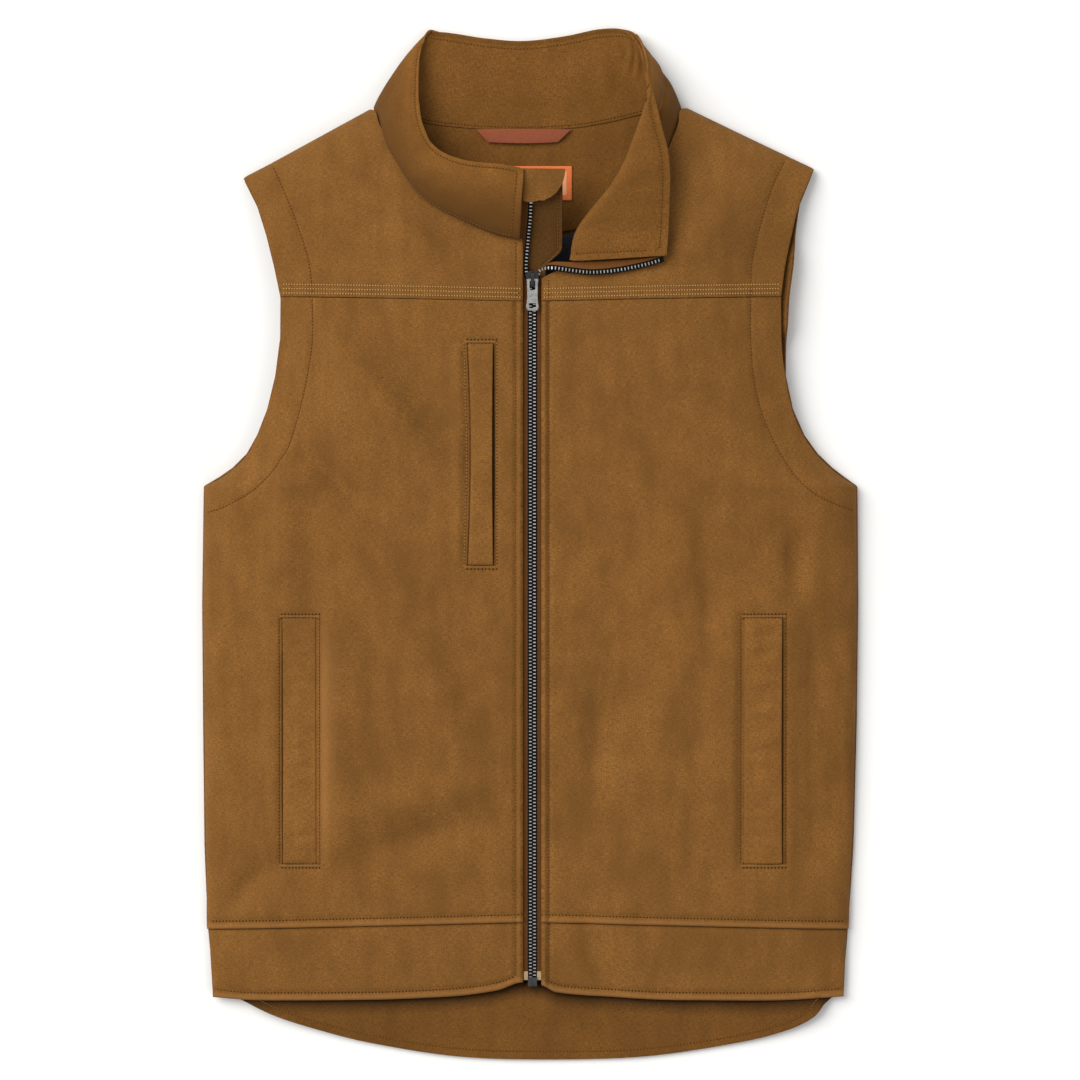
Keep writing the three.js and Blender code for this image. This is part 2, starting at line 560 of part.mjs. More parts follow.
// Slider: two plates, the post between them and the bridge for the pull tab
const sliderTop = crownAt(SLIDER.y);
function zipSlider() {
  const half = SLIDER.length / 2;
  const shield = new THREE.Shape();
  shield.moveTo(-SLIDER.tail / 2 + 1, -half);
  shield.lineTo(SLIDER.tail / 2 - 1, -half);
  shield.quadraticCurveTo(SLIDER.tail / 2, -half, SLIDER.tail / 2, -half + 1.2);
  shield.lineTo(SLIDER.head / 2, half - 4.2);
  shield.quadraticCurveTo(SLIDER.head / 2 - 0.3, half - 0.6, 2.2, half);
  shield.lineTo(-2.2, half);
  shield.quadraticCurveTo(-SLIDER.head / 2 + 0.3, half - 0.6, -SLIDER.head / 2, half - 4.2);
  shield.lineTo(-SLIDER.tail / 2, -half + 1.2);
  shield.quadraticCurveTo(-SLIDER.tail / 2, -half, -SLIDER.tail / 2 + 1, -half);
  const faces = [SLIDER.top, SLIDER.bottom].map((level) => sliderTop + level);
  const plates = faces.map((level) =>
    plate(shield, SLIDER.plate, SLIDER.bevel).translate(CENTRE, SLIDER.y, level - SLIDER.plate));
  const sunk = faces.map((level) => level - SLIDER.plate / 3);
  const post = box([CENTRE - 0.7, CENTRE + 0.7], [SLIDER.y + 3.6, SLIDER.y + 6], [sunk[1], sunk[0]]);
  const arch = new THREE.Shape();
  const foot = sunk[0];
  const rise = faces[0] + BRIDGE.rise;
  arch.moveTo(BRIDGE.from, foot);
  arch.lineTo(BRIDGE.from, rise - 1.8);
  arch.quadraticCurveTo(BRIDGE.from, rise, BRIDGE.from + 2, rise);
  arch.lineTo(BRIDGE.to - 2, rise);
  arch.quadraticCurveTo(BRIDGE.to, rise, BRIDGE.to, rise - 1.8);
  arch.lineTo(BRIDGE.to, foot);
  arch.lineTo(BRIDGE.to - BRIDGE.wall, foot);
  arch.lineTo(BRIDGE.to - BRIDGE.wall, rise - 2);
  arch.quadraticCurveTo(BRIDGE.to - BRIDGE.wall, rise - BRIDGE.wall, BRIDGE.to - 2.2, rise - BRIDGE.wall);
  arch.lineTo(BRIDGE.from + 2.2, rise - BRIDGE.wall);
  arch.quadraticCurveTo(BRIDGE.from + BRIDGE.wall, rise - BRIDGE.wall, BRIDGE.from + BRIDGE.wall, rise - 2);
  arch.lineTo(BRIDGE.from + BRIDGE.wall, foot);
  arch.closePath();
  const bridge = plate(arch, BRIDGE.width, 0).rotateY(Math.PI / 2).rotateX(Math.PI / 2);
  bridge.translate(CENTRE - BRIDGE.width / 2, SLIDER.y, 0);
  return geometryOf(wasm.Manifold.union([...plates, post, bridge].map(solidOf)));
}
function zipPull() {
  const outline = new THREE.Shape();
  const foot = -PULL.length;
  outline.moveTo(-PULL.top / 2 + 0.8, PULL.above);
  outline.lineTo(PULL.top / 2 - 0.8, PULL.above);
  outline.quadraticCurveTo(PULL.top / 2, PULL.above, PULL.top / 2, PULL.above - 0.8);
  outline.quadraticCurveTo(PULL.waist / 2, -3, PULL.waist / 2, -9);
  outline.lineTo(PULL.waist / 2, -14);
  outline.quadraticCurveTo(PULL.waist / 2, -18, PULL.foot / 2, foot + 4);
  outline.quadraticCurveTo(PULL.foot / 2, foot, PULL.foot / 2 - 3, foot);
  outline.lineTo(-PULL.foot / 2 + 3, foot);
  outline.quadraticCurveTo(-PULL.foot / 2, foot, -PULL.foot / 2, foot + 4);
  outline.quadraticCurveTo(-PULL.waist / 2, -18, -PULL.waist / 2, -14);
  outline.lineTo(-PULL.waist / 2, -9);
  outline.quadraticCurveTo(-PULL.waist / 2, -3, -PULL.top / 2, PULL.above - 0.8);
  outline.quadraticCurveTo(-PULL.top / 2, PULL.above, -PULL.top / 2 + 0.8, PULL.above);
  let tab = solidOf(plate(outline, PULL.thick, 0.3));
  for (const { width, from, to } of [PULL.slot, PULL.window]) {
    const half = width / 2;
    const hole = new THREE.Shape();
    hole.moveTo(-half, from);
    hole.lineTo(-half, to + PULL.corner);
    hole.quadraticCurveTo(-half, to, -half + PULL.corner, to);
    hole.lineTo(half - PULL.corner, to);
    hole.quadraticCurveTo(half, to, half, to + PULL.corner);
    hole.lineTo(half, from);
    tab = tab.subtract(solidOf(plate(hole, PULL.thick + 2, 0).translate(0, 0, -1)));
  }
  return geometryOf(tab).translate(CENTRE, PULL.pivot, sliderTop + PULL.lift - PULL.thick / 2);
}
function zipBox() {
  const top = crownAt(BOX.top) - 0.9;
  const half = BOX.width / 2;
  const shell = box([CENTRE - half, CENTRE + half], [BOX.foot, BOX.top], [top - BOX.thick, top]);
  const groove = box([CENTRE - 0.4, CENTRE + 0.4], [BOX.foot - 1, BOX.top - 2.4], [top - 0.6, top + 1]);
  return geometryOf(solidOf(shell).subtract(solidOf(groove)));
}
function tapeEnd(side) {
  const out = side === "right" ? -1 : 1;
  const near = rowX[side] + out * (TEETH.width / 2 + 0.6);
  const x = [near, near + out * TAPE_END.width].sort((a, b) => a - b);
  const surface = (u, v) => {
    const y = lerp(TAPE_END.foot, TAPE_END.top, v);
    return vector(lerp(x[0], x[1], u), y, crownAt(y) - TAPE_SINK + TAPE / 2 + 0.3);
  };
  return wall(1, 2, 0, TAPE_END.thick, surface);
}

// Welt of a pocket, lying on the front
function pocketWelt({ x, y }) {
  const surface = (u, v) => {
    const at = [lerp(x[0], x[1], u), lerp(y[0], y[1], v)];
    return vector(...at, frontHeight(...at));
  };
  return wall(3, 16, SEAM_GAP + 0.3, SEAM_GAP + 0.3 + WELT_CLOTH, surface);
}
function hangerLoop() {
  const surface = (u, v) => {
    const x = lerp(lerp(LOOP.foot[0], LOOP.top[0], v), lerp(LOOP.foot[1], LOOP.top[1], v), u);
    return vector(x, lerp(LOOP.y[0], LOOP.y[1], v), LOOP.height + LOOP.bow * Math.sin(Math.PI * u));
  };
  return wall(8, 2, 0, LOOP.thick, surface);
}
const labelFoot = FACING_FOOT + FACING + 0.3;
const neckLabel = () => box(LABEL.x, LABEL.y, [labelFoot, labelFoot + LABEL.thick]);

// The vest
const vest = new THREE.Group();
vest.name = "softshell_vest";
function add(name, geometry, colour, metal = 0) {
  const flat = geometry.index ? geometry.toNonIndexed() : geometry;
  flat.computeVertexNormals();
  const material = new THREE.MeshStandardMaterial({
    color: COLOURS[colour],
    roughness: metal ? 0.35 : 0.9,
    metalness: metal,
  });
  const mesh = new THREE.Mesh(flat, material);
  mesh.name = name;
  vest.add(mesh);
}
add("back_panel", backPanel(), "cloth");
add("back_neck_facing", backNeckFacing(), "inner");
add("back_lining", backLining(), "lining");
for (const side of sides) {
  add(`${side}_front`, frontPanel(side), "cloth");
  add(`${side}_yoke`, wall(YOKE_CELLS.across, YOKE_CELLS.up, -CLOTH, 0, yokeSurface(side)), "cloth");
  add(`${side}_hem_band`, hemBand(side), "cloth");
  add(`${side}_zip_tape`, side === "right" ? rightTape() : leftTape(), "tape");
  add(`${side}_zip_teeth`, zipTeeth(side), "teeth", 1);
  add(`${side}_tape_end`, tapeEnd(side), "tape_end");
}
add("collar", wall(54, 6, -COLLAR_CLOTH / 2, COLLAR_CLOTH / 2, collarSurface), "cloth");
add("lapel_zip_tape", lapelTape(), "tape");
add("wind_flap", windFlap(), "inner");
add("zip_garage", zipGarage(), "cloth");
add("zip_slider", zipSlider(), "metal", 1);
add("zip_pull", zipPull(), "metal", 1);
add("zip_box", zipBox(), "metal", 1);
for (const [name, welt] of Object.entries(WELTS)) add(name, pocketWelt(welt), "cloth");
add("hanger_loop", hangerLoop(), "loop");
add("neck_label", neckLabel(), "label");

export default vest;
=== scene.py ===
"""Softshell work vest, lying on its back: cloth panels, collar, pockets, stitching and a metal zip.

Right and left are the wearer's, so right is at negative X. Lengths in the tables are millimetres.
"""
import json
import math
from bisect import bisect_right
from collections import namedtuple
from functools import lru_cache
from itertools import accumulate

import bmesh
import bpy
from mathutils import Matrix, Vector, kdtree, noise
from mathutils.bvhtree import BVHTree


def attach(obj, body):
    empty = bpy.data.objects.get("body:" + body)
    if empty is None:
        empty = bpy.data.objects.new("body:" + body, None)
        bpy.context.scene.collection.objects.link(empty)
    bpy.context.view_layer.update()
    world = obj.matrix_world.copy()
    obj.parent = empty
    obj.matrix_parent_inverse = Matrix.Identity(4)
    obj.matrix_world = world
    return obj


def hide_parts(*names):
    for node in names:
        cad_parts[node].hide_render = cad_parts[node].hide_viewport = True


bl_info = {
    "name": "Softshell vest",
    "version": (1, 0, 0),
    "blender": (4, 5, 0),
    "location": "View3D > Sidebar > Vest",
    "description": "Dresses the solids of a softshell work vest with cloth, stitching and a metal zip",
    "category": "Object",
}

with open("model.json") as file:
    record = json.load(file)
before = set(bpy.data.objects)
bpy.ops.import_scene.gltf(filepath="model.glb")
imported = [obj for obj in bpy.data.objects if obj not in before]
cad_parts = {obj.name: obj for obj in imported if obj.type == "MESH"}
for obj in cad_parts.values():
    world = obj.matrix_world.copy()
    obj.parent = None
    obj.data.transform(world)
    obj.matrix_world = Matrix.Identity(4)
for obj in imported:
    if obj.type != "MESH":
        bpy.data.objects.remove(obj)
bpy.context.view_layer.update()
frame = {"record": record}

MM = 0.001
BODY = "vest"
SIDES = ("right", "left")

# Front: where it opens, how far in from its edge it rises, and the steps at its seams
CENTRE = 2.0
FRONT_EDGE = {"right": -5.8, "left": 9.4}
EDGE_ROW = {"right": -11.9, "left": 15.5}
REACH = 130.0
SHOULDER_HEIGHT = 5.0
YOKE_STEP = 0.8
YOKE_FOLDS = {"across": (0.0, 0.15), "up": (0.0, 0.2, 0.6, 0.95)}
BAND_STEP = 0.8
BAND_STEP_START = (0.0, 0.1)
HEM_FLARE = {"out": 1.8, "high": 50.0}
SEAM_GAP = 0.4
NECK_GAP = 0.5
BACK_NECK_GAP = 0.3
FACING_NECK_GAP = 0.2
SEAM_START = 8.0
CHEST_SEAM = {"edge": 206.0, "centre": 201.5, "long": 200.0}
HEM_SEAM = {"edge": -322.0, "centre": -315.5, "long": 258.0}
WIDTH = 546.6

# Back: curled sides and shoulders, the tail's rise and waves, and the lift in the left armhole from y to y
BACK_CURL = {"rise": 2.6, "width": 14.0, "start": (0.0, 0.12)}
BACK_SHOULDER = {"width": 0.03, "start": (0.28, 0.32)}
TAIL_RISE = {"y": -384.0, "width": 24.0, "height": 6.0, "inset": (10.0, 70.0)}
TAIL_WAVE = {"hidden": (-372.0, -350.0), "height": 0.9, "groove": 0.5}
ARMHOLE_LIFT = {"y": (156.0, 184.0, 236.0, 276.0), "height": 13.0, "width": 30.0}

# Edges and seams: a turned edge's swell and sunk row, puckers, the chest seam's ridge, the hem seam's groove
EDGE_SWELL = {"at": 3.0, "width": 2.1}
EDGE_SINK = {"at": 6.3, "width": 1.6, "depth": 0.6}
YOKE_ROLL = {"width": 2.0, "drop": 0.7}
PUCKER = {"reach": 7.0, "share": 0.4}
GROOVE_WIDTH = 2.1
CHEST_RIDGE = {"height": 0.7, "y": (-0.5, 1.5, 12.5, 17.0)}
HEM_GROOVE = {"depth": 1.7, "width": 2.2}
LEAST_HEM_HEIGHT = 5.0

# Fixed noise in the cloth: its sizes in two directions and a layer of its own; the collar's sizes are shares
NOISE = {
    "drape": (150.0, 36.0, 5.3), "broad": (62.0, 74.0, 3.1), "fine": (23.0, 27.0, 8.7),
    "pucker": (5.5, 5.5, 1.7), "tail": (60.0, 40.0, 5.0), "facing": (30.0, 34.0, 2.0),
    "lining": (40.0, 40.0, 6.0), "collar": (1 / 26, 1 / 2.2, 4.0), "collar_fine": (1 / 60, 1 / 5, 9.0),
    "chest_welt": (24.0, 12.0, 11.0), "hand_welt": (24.0, 8.0, 11.0),
}
FINE_SHARE = 0.4

# Outline of the front from hem to chest seam: y, x of the right edge, x of the left edge
OUTLINE = (
    (-382, -265.3, 262.3), (-322, -268.6, 264.8), (-250, -271.2, 269.2), (-150, -272.4, 272.0),
    (-50, -273.3, 273.3), (47, -272.0, 272.8), (54, -260.0, 263.0), (62, -248.5, 252.5),
    (74, -236.5, 240.0), (90, -227.5, 228.5), (112, -219.0, 219.0), (140, -212.3, 213.0),
    (172, -208.2, 209.8), (206, -208.0, 209.5),
)
OUTLINE_X = {"right": 1, "left": 2}

# Height of the front over the floor: y, at its edge, at its crown, how far the edge is a rounded fold
HEIGHTS = (
    (-382, 6, 15, 0.8), (-322, 5, 24, 1), (-160, 5, 32, 1), (47, 5, 37, 1),
    (74, 11, 38, 0.45), (120, 16, 39, 0.1), (206, 18, 40, 0),
)
EDGE, CROWN, FOLD = 1, 2, 3
CROWN_LEVEL = 0.038
OUTWARD = {"right": (-1.0, 0.0), "left": (1.0, 0.0)}
UPWARD = {"right": (0.0, 1.0), "left": (0.0, 1.0)}
FRONT_LENGTHS = (0.34, 0.53)

# Long waves by their bearing on each side, and where the folds begin beside the zip and the side
DRAPE = {"height": 1.5, "right": -52.0, "left": 68.0}
FOLD_START = {"zip": (20.0, 48.0), "side": (0.0, 30.0)}

# Soft folds and dents in the front: x, y, bearing in degrees, half length, half width, height
FOLD_DEPTH = 2.8
FOLDS = (
    (-121, 116, -50, 70, 14, 3), (-96, 137, -50, 60, 17, -2), (-162, 53, -43, 36, 9, -2.5),
    (-204, 3, 90, 60, 14, 2.5), (-92, -245, 14, 65, 14, -2.2), (-92, -213, 12, 65, 13, 1.4),
    (-233, -284, 42, 30, 12, -2.4), (-88, -105, -60, 70, 20, 2.5), (148, -30, 90, 45, 12, -2.5),
    (117, -138, 75, 60, 20, 2.5), (58, -163, 80, 50, 15, -2.5), (52, -338, -70, 50, 13, -2),
    (221, -13, 90, 34, 10, -1.8), (-98, 260, -45, 40, 12, 2), (150, 262, 50, 45, 15, 1.5),
    (-66, 249, -26, 46, 16, -2),
)

# Armhole from the chest seam to the shoulder tip, and the shoulder's end at the neck
YOKE_ARMHOLE = {
    "right": ((-208, 206), (-213.5, 232), (-220, 258), (-227.5, 282), (-239.5, 306)),
    "left": ((209.5, 206), (213, 232), (218.5, 258), (225, 284), (237.2, 313.5)),
}
BACK_ARMHOLE = {"right": 0.0, "left": 5.5}
SHOULDER_END = {"right": (-134, 363.5), "left": (131.5, 364.5)}
BACK_SHOULDER_END = {"right": (-131, 362.5), "left": (130, 364.5)}
LEFT_OPENING = ((9.4, 220.5), (20, 226.2), (34, 231.2))

# Stitch row round each armhole, from the shoulder to the underarm
ARMHOLE_ROW = {
    "right": ((-215, 315.8), (-204.2, 291.7), (-195.8, 270.8), (-185, 237.5), (-181.7, 211.7),
              (-181.7, 167.5), (-189.2, 123.3), (-200, 85), (-206.7, 72.5), (-216.7, 58.3),
              (-228.3, 46.7), (-240.8, 38.3), (-257.5, 30), (-269, 26.7)),
    "left": ((212.5, 320), (201.7, 297.5), (192.5, 268.3), (184.6, 235), (183.9, 208.3),
             (183.3, 174.6), (186.7, 134.2), (196.7, 99.2), (215, 65), (232.5, 45),
             (250.8, 35), (269, 28.3)),
}

# Other stitch rows: heights over the chest seam, insets from edges and seams, and frames round the welts
CHEST_ROWS = (3.4, 7.0, 10.6)
EDGE_ROW_TOP = {"right": 250.0, "left": 219.0}
ROW_INSET = {"end": 1.5, "hem_seam": 6.6, "hem_edge": 6.4, "zip_foot": 6.5, "flap": 3.6, "tail": 6.8}
WELT_FRAME = {"side": 3.2, "end": 1.6, "beside_tack": 1.8}
FLAP_ROW = (246.0, 290.0)
TAIL_CENTRE = (0.0, -200.0)
ARMHOLE_CROSSING = 0.4
SEAM_CLEAR = {"yoke": 2.0, "front": 1.0, "hem_band": 2.0}
ROW_STEP = 1.5

# Lower edge of the front hem bands, and of the back's drop tail
HEM_EDGE = (
    (-265.5, -379), (-224, -381.5), (-146, -381), (-67, -378), (-28, -373), (-5.8, -366),
    (9.4, -368.5), (22, -374.5), (62, -378), (121, -381), (200, -381.5), (262.5, -378.5),
)
TAIL = (
    (-264, -372), (-240, -381.5), (-212, -395), (-175, -407), (-131, -418), (-62, -428.8), (10, -431.5),
    (95, -429), (173, -417.5), (214, -407), (236, -396), (246, -384), (261, -372),
)

# Collar sections from the right front edge, round the neck, to the lapel: neck seam, middle, top edge
COLLAR = (
    ((-8.2, 254, 38), (-6.8, 283, 47), (-5.4, 311, 49)),
    ((-31, 260, 37.5), (-27, 288, 47), (-23.5, 314.5, 49.5)),
    ((-53, 270, 36.5), (-51, 294, 46.5), (-50, 317, 48.5)),
    ((-75, 281.5, 34.5), (-71, 302, 44.5), (-67.5, 322, 46)),
    ((-92, 296, 31.5), (-87, 313, 41), (-80.5, 331, 42)),
    ((-106, 317, 26), (-98, 330, 35.5), (-88, 344, 36)),
    ((-118, 337, 20), (-107, 348, 28.5), (-92, 360, 29)),
    ((-125.5, 351, 14.5), (-111, 366, 21), (-93, 382, 20.5)),
    ((-128.5, 361, 9.5), (-111.5, 385, 13.5), (-91.5, 408, 12)),
    ((-127, 365, 5), (-109, 397.5, 6.5), (-84, 428, 6)),
    ((-110, 359, 2.4), (-94, 394, 2.4), (-75, 428.5, 2.4)),
    ((-82, 351.5, 2.2), (-74, 390, 2.2), (-62, 427, 2.2)),
    ((-44, 347.5, 2.2), (-41, 385.5, 2.2), (-36, 423, 2.2)),
    ((-5, 346.5, 2.2), (-5, 384, 2.2), (-5, 421, 2.2)),
    ((34, 348, 2.2), (32, 386.5, 2.2), (29, 425, 2.2)),
    ((65, 353, 2.2), (62, 392, 2.2), (56, 430.6, 2.2)),
    ((90, 359, 2.4), (86, 396, 3.2), (75, 431.1, 3.6)),
    ((110, 364.5, 3.5), (101, 396, 6.5), (86, 426, 8.5)),
    ((122, 367, 6.5), (110, 392.5, 16), (92, 416, 17)),
    ((124.5, 362, 11), (111, 383, 27), (95.5, 403.5, 28)),
    ((123.5, 352, 15), (105, 369.5, 39), (98.5, 387, 38)),
    ((119, 340, 20), (95, 352, 46), (104, 365, 44)),
    ((112, 325, 26), (88, 337, 48.5), (109.5, 344, 47.5)),
    ((101, 304, 31.5), (80.5, 316, 49.5), (114, 327, 47)),
    ((88, 284, 35), (70, 296, 50), (116, 306, 46)),
    ((71, 263, 37), (54, 275, 49), (115.5, 280, 45)),
    ((56, 248, 38.5), (45.5, 259, 47), (114.8, 258, 44.5)),
    ((47, 237, 40), (43, 235.5, 44.5), (113.4, 239.5, 44.5)),
)
COLLAR_RIGHT_FRONT = 9
COLLAR_BACK = (10, 17)
COLLAR_LEFT_SIDE = 19

# Zip: rows of teeth, a tooth and its narrower head, tapes, and the paths of the two rows above the slider
TEETH = {"width": 3.0, "sink": 3.3, "part": 0.2, "foot": -361.2}
TOOTH = {"size": (2.75, 1.4, 2.5), "head": (0.72, 0.8), "bevel": 0.12, "mesh": 0.1}
CLOSED_TOP = 214.0
LAPEL_TURN = {"above": 218.0, "x": (5.5, 10.0)}
TAPE_WIDTH = 12.5
TAPE_SINK = 3.7
UPPER_ROW = {
    "right": ((-0.1, 216, 36.7), (-2.6, 224, 36.6), (-3.2, 231, 36), (-1.4, 254, 35),
              (0.2, 270, 38.4), (0.9, 284, 41.6), (1.6, 302, 43.4)),
    "left": ((4.1, 216, 36.7), (5.9, 223, 36.6), (9, 227.6, 37.4), (14, 229.2, 40.6), (19.5, 229.2, 42.4),
             (33, 227.4, 43), (50, 225.6, 43), (71, 227.2, 43), (97, 232.4, 43.4), (111, 236.6, 43.6)),
}
CLOSED_ROWS = (-322, -290, -250, -200, -150, -100, -50, 0, 50, 100, 150, 192)
COLLAR_TAPE = 7.0
SLIDER_TAPE = 3.4
SLIDER_TAPE_START = 0.93
TAPE_EDGE = {"near": 0.3, "far": 0.6, "under": (1.6, 2.2), "rise": 0.4}
LAPEL_START = 3
LAPEL_TAPE = (1.6, 3.4, 5.0, 7.2, 6.6, 3.2, 0.8)
WIND_FLAP = {"left": 26.7, "right": -15.0, "sink": 8.0, "below": 4.4, "foot": -358.0, "top": 303.0}
FLAP_LEVELS = (-300, -160, 0, 150, 215)
FLAP_PIPING = {"height": 0.9, "width": 1.6, "sink": 0.5, "sink_at": 3.4, "sink_width": 1.4}
WIND_FLAP_TUCK = {"x": 13.0, "from": 229.0, "to": 247.0}
GARAGE = {
    "x": -6.2, "foot": 285.0, "top": 311.5, "flat": 13.0, "long": 35.5, "height": 49.2, "droop": 4.5,
    "sag": 1.5, "wave": 0.5, "wave_long": 5.0,
}

# Pocket welts on the front: x range, y range, the side where the pocket opens
WELTS = {
    "chest_pocket_welt": ((-51.8, -30.8), (-17.5, 166.5), 1),
    "right_pocket_welt": ((-206.0, -178.4), (-266.5, -61.8), -1),
    "left_pocket_welt": ((178.4, 210.0), (-266.5, -61.8), 1),
}
WELT_SINK = {
    "under": 0.9, "mouth": 1.3, "from_mouth": 1.1, "width": 1.9, "reach": (20.0, 8.0), "sides": (1.5, 1.5),
    "ends": (2.0, 4.0),
}

# Cloth beside the pockets: bulge from the sewn edge, fall from the mouth, and how much of both at each
POCKET_BULGE = (1.0, 11.0, 11.0, 50.0)
POCKET_FALL = (0.0, 28.0, 28.0, 64.0)
POCKET_ENDS = (20.0, 14.0)
POCKET_HEIGHTS = {"right_pocket_welt": (3.8, 2.4), "left_pocket_welt": (3.0, 4.8)}
CHEST_POCKET_RIDGE = {"height": 1.5, "from_sewn": 7.5, "width": 4.5}
WELT_BOW = {"chest_pocket_welt": 2.4, "right_pocket_welt": 0.0, "left_pocket_welt": 0.0}
WELT = {
    "lift": (0.1, 1.5), "end": 3.0, "end_drop": 1.0, "gape_bow": 0.4, "strip_at": 0.5, "strip_rise": 0.3,
    "fold": 1.2, "turning": 4.0,
}
WELT_FORMS = {
    "chest_welt": {"gape": 1.8, "rise": 0.1, "crease": 0.7, "mouth": "pocket_shade"},
    "hand_welt": {"gape": 1.1, "rise": 0.6, "crease": 2.0, "mouth": "pocket_line"},
}
LOOP = {
    "top": (-45.5, 35.0), "foot": (-35.5, 23.3), "y": (335.9, 347.0), "height": 6.0, "bow": 1.4, "round": 0.3,
    "sag": 1.0,
}
LABEL = {"x": (-49.0, 35.0), "y": (287.5, 316.2), "height": 4.3, "bow": 0.3}
LABEL_SIZE = tuple((LABEL[key][1] - LABEL[key][0]) * MM for key in ("x", "y"))
LABEL_BORDER = (0.0043, 0.0049)
NECK_FACING = {"side": 108.0, "corner": 292.0, "middle": 259.0, "height": 3.3, "wave": 0.35}
LINING = {
    "inset": 16.0, "foot": -345.0, "shoulder": 286.0, "armhole": 262.0, "share": 0.55, "gap": 3.0,
    "height": 3.1, "wave": 0.25,
}

# Thickness of the smaller cloth pieces, in metres
THICK = {
    "facing": 0.001, "lining": 0.0008, "tape": 0.0008, "flap": 0.0015, "welt": 0.0014, "strip": 0.0003,
    "loop": 0.0012, "label": 0.0007,
}

# Colours: painted shade over the zip tape's cord under and just beside the teeth, and inside the label's
# border
CORD_SHADE_COLOUR = (0.006, 0.005, 0.005, 1.0)
FIELD_COLOUR = (0.93, 0.42, 0.2, 1.0)


def slot_colour(name):
    """Colour that the record gives for a material slot."""
    return next(row["base_color"] for row in frame["record"]["materials"] if row["slot"] == name)


def colour_prop(name, description, default):
    return bpy.props.FloatVectorProperty(
        name=name, description=description, default=default, subtype="COLOR", min=0.0, max=1.0)


def length_prop(name, description, default, low, high):
    return bpy.props.FloatProperty(
        name=name, description=description, default=default, min=low, max=high, unit="LENGTH", precision=4)


class VestCloth(bpy.types.PropertyGroup):
    """Sizes and colours of the vest's cloth."""
    thickness: length_prop("Cloth thickness", "Thickness of the bonded cloth", 0.002, 0.0005, 0.004)
    collar_layer: length_prop("Collar layer", "Thickness of each of the two layers", 0.0018, 0.0005, 0.003)
    cell: length_prop("Cell", "Size of the mesh cells of the large panels", 0.0023, 0.002, 0.01)
    thread: length_prop("Yarn", "Distance from yarn to yarn in the weave", 0.0009, 0.0003, 0.003)
    crumple: length_prop("Crumple", "Height of the small uneven waves in the cloth", 0.0006, 0.0, 0.003)
    colour: colour_prop("Cloth", "Colour of the duck cloth", (0.238, 0.102, 0.0205))
    inside_colour: colour_prop("Cloth inside", "Colour of the less worn faces", (0.238, 0.098, 0.017))
    lining_colour: colour_prop("Lining", "Colour of the lining", slot_colour("lining"))
    loop_colour: colour_prop("Hanger loop", "Colour of the hanger tape", slot_colour("loop_tape"))
    label_colour: colour_prop("Label", "Colour of the neck label's border", (0.95, 0.2, 0.04))


class VestStitching(bpy.types.PropertyGroup):
    """Sizes and colours of the stitch rows."""
    pitch: length_prop("Pitch", "Distance from stitch to stitch", 0.0028, 0.0015, 0.006)
    width: length_prop("Thread width", "Width of the sewing thread", 0.0009, 0.0003, 0.002)
    groove: length_prop("Groove", "How far a stitch row pulls the cloth in", 0.0009, 0.0, 0.002)
    colour: colour_prop("Thread", "Colour of the sewing thread", (0.21, 0.088, 0.018))
    bright_colour: colour_prop("Chest thread", "Colour of the thread in the chest seam", (0.47, 0.26, 0.09))
    frame_colour: colour_prop("Pocket thread", "Colour of the thread round the pockets", (0.33, 0.168, 0.052))
    # The needle holes are drawn as dark beads: these colours are painted shade
    hole_shade_colour: colour_prop("Needle hole", "Colour in the needle holes", (0.095, 0.038, 0.007))
    hem_hole_shade_colour: colour_prop("Hem needle hole", "Colour in the hem rows' holes", (0.045, 0.017, 0.003))


class VestZip(bpy.types.PropertyGroup):
    """Sizes and colours of the zip."""
    pitch: length_prop("Tooth pitch", "Distance from tooth to tooth in a row", 0.0029, 0.0015, 0.005)
    tape_colour: colour_prop("Tape", "Colour of the zip tape", slot_colour("zip_tape"))
    metal_colour: colour_prop("Slider", "Colour of the slider, pull and box", slot_colour("zip_metal"))
    teeth_colour: colour_prop("Teeth", "Colour of the rubbed faces of the teeth", (0.58, 0.58, 0.57))
    end_colour: colour_prop("Tape ends", "Colour of the film on the tape's ends", slot_colour("tape_end"))


class VestStage(bpy.types.PropertyGroup):
    """Floor, light and camera."""
    view_width: length_prop("View width", "Width that the camera sees at the vest", 0.9, 0.3, 5.0)
    lens: bpy.props.FloatProperty(
        name="Lens", description="Focal length of the camera", default=200.0, min=50.0, unit="CAMERA")
    key_power: bpy.props.FloatProperty(
        name="Key light", description="Power of the main light", default=1800.0, min=0.0, unit="POWER")
    fill_power: bpy.props.FloatProperty(
        name="Fill light", description="Power of the light opposite", default=150.0, min=0.0, unit="POWER")
    sky: bpy.props.FloatProperty(
        name="Surround", description="Brightness of the even light from all sides", default=0.52, min=0.0)
    floor_colour: colour_prop("Floor", "Colour of the floor", (0.9, 0.9, 0.89))


# Numbers and curves

def clamp(value):
    return min(max(value, 0.0), 1.0)


def lerp(a, b, t):
    return a + (b - a) * t


def ease(value, low, high):
    t = clamp((value - low) / (high - low))
    return t * t * (3 - 2 * t)


def plateau(value, start, full, end, gone):
    """1 from full to end, eased to 0 at start and gone."""
    return ease(value, start, full) * (1 - ease(value, end, gone))


def within(value, low, high, outside, inside):
    """1 between low and high, eased to 0 over a stretch at both."""
    return plateau(value, low - outside, low + inside, high - inside, high + outside)


def hump(value, middle, width):
    """Rounded rise of height 1 about a middle."""
    return math.exp(-((value - middle) / width) ** 2)


def half_wave(share):
    return math.sin(math.pi * share)


def uneven(kind, x, y):
    """Fixed noise of one of the kinds in the table, from about -1 to 1."""
    wide, long, layer = NOISE[kind]
    return noise.noise(Vector((x / wide, y / long, layer)))


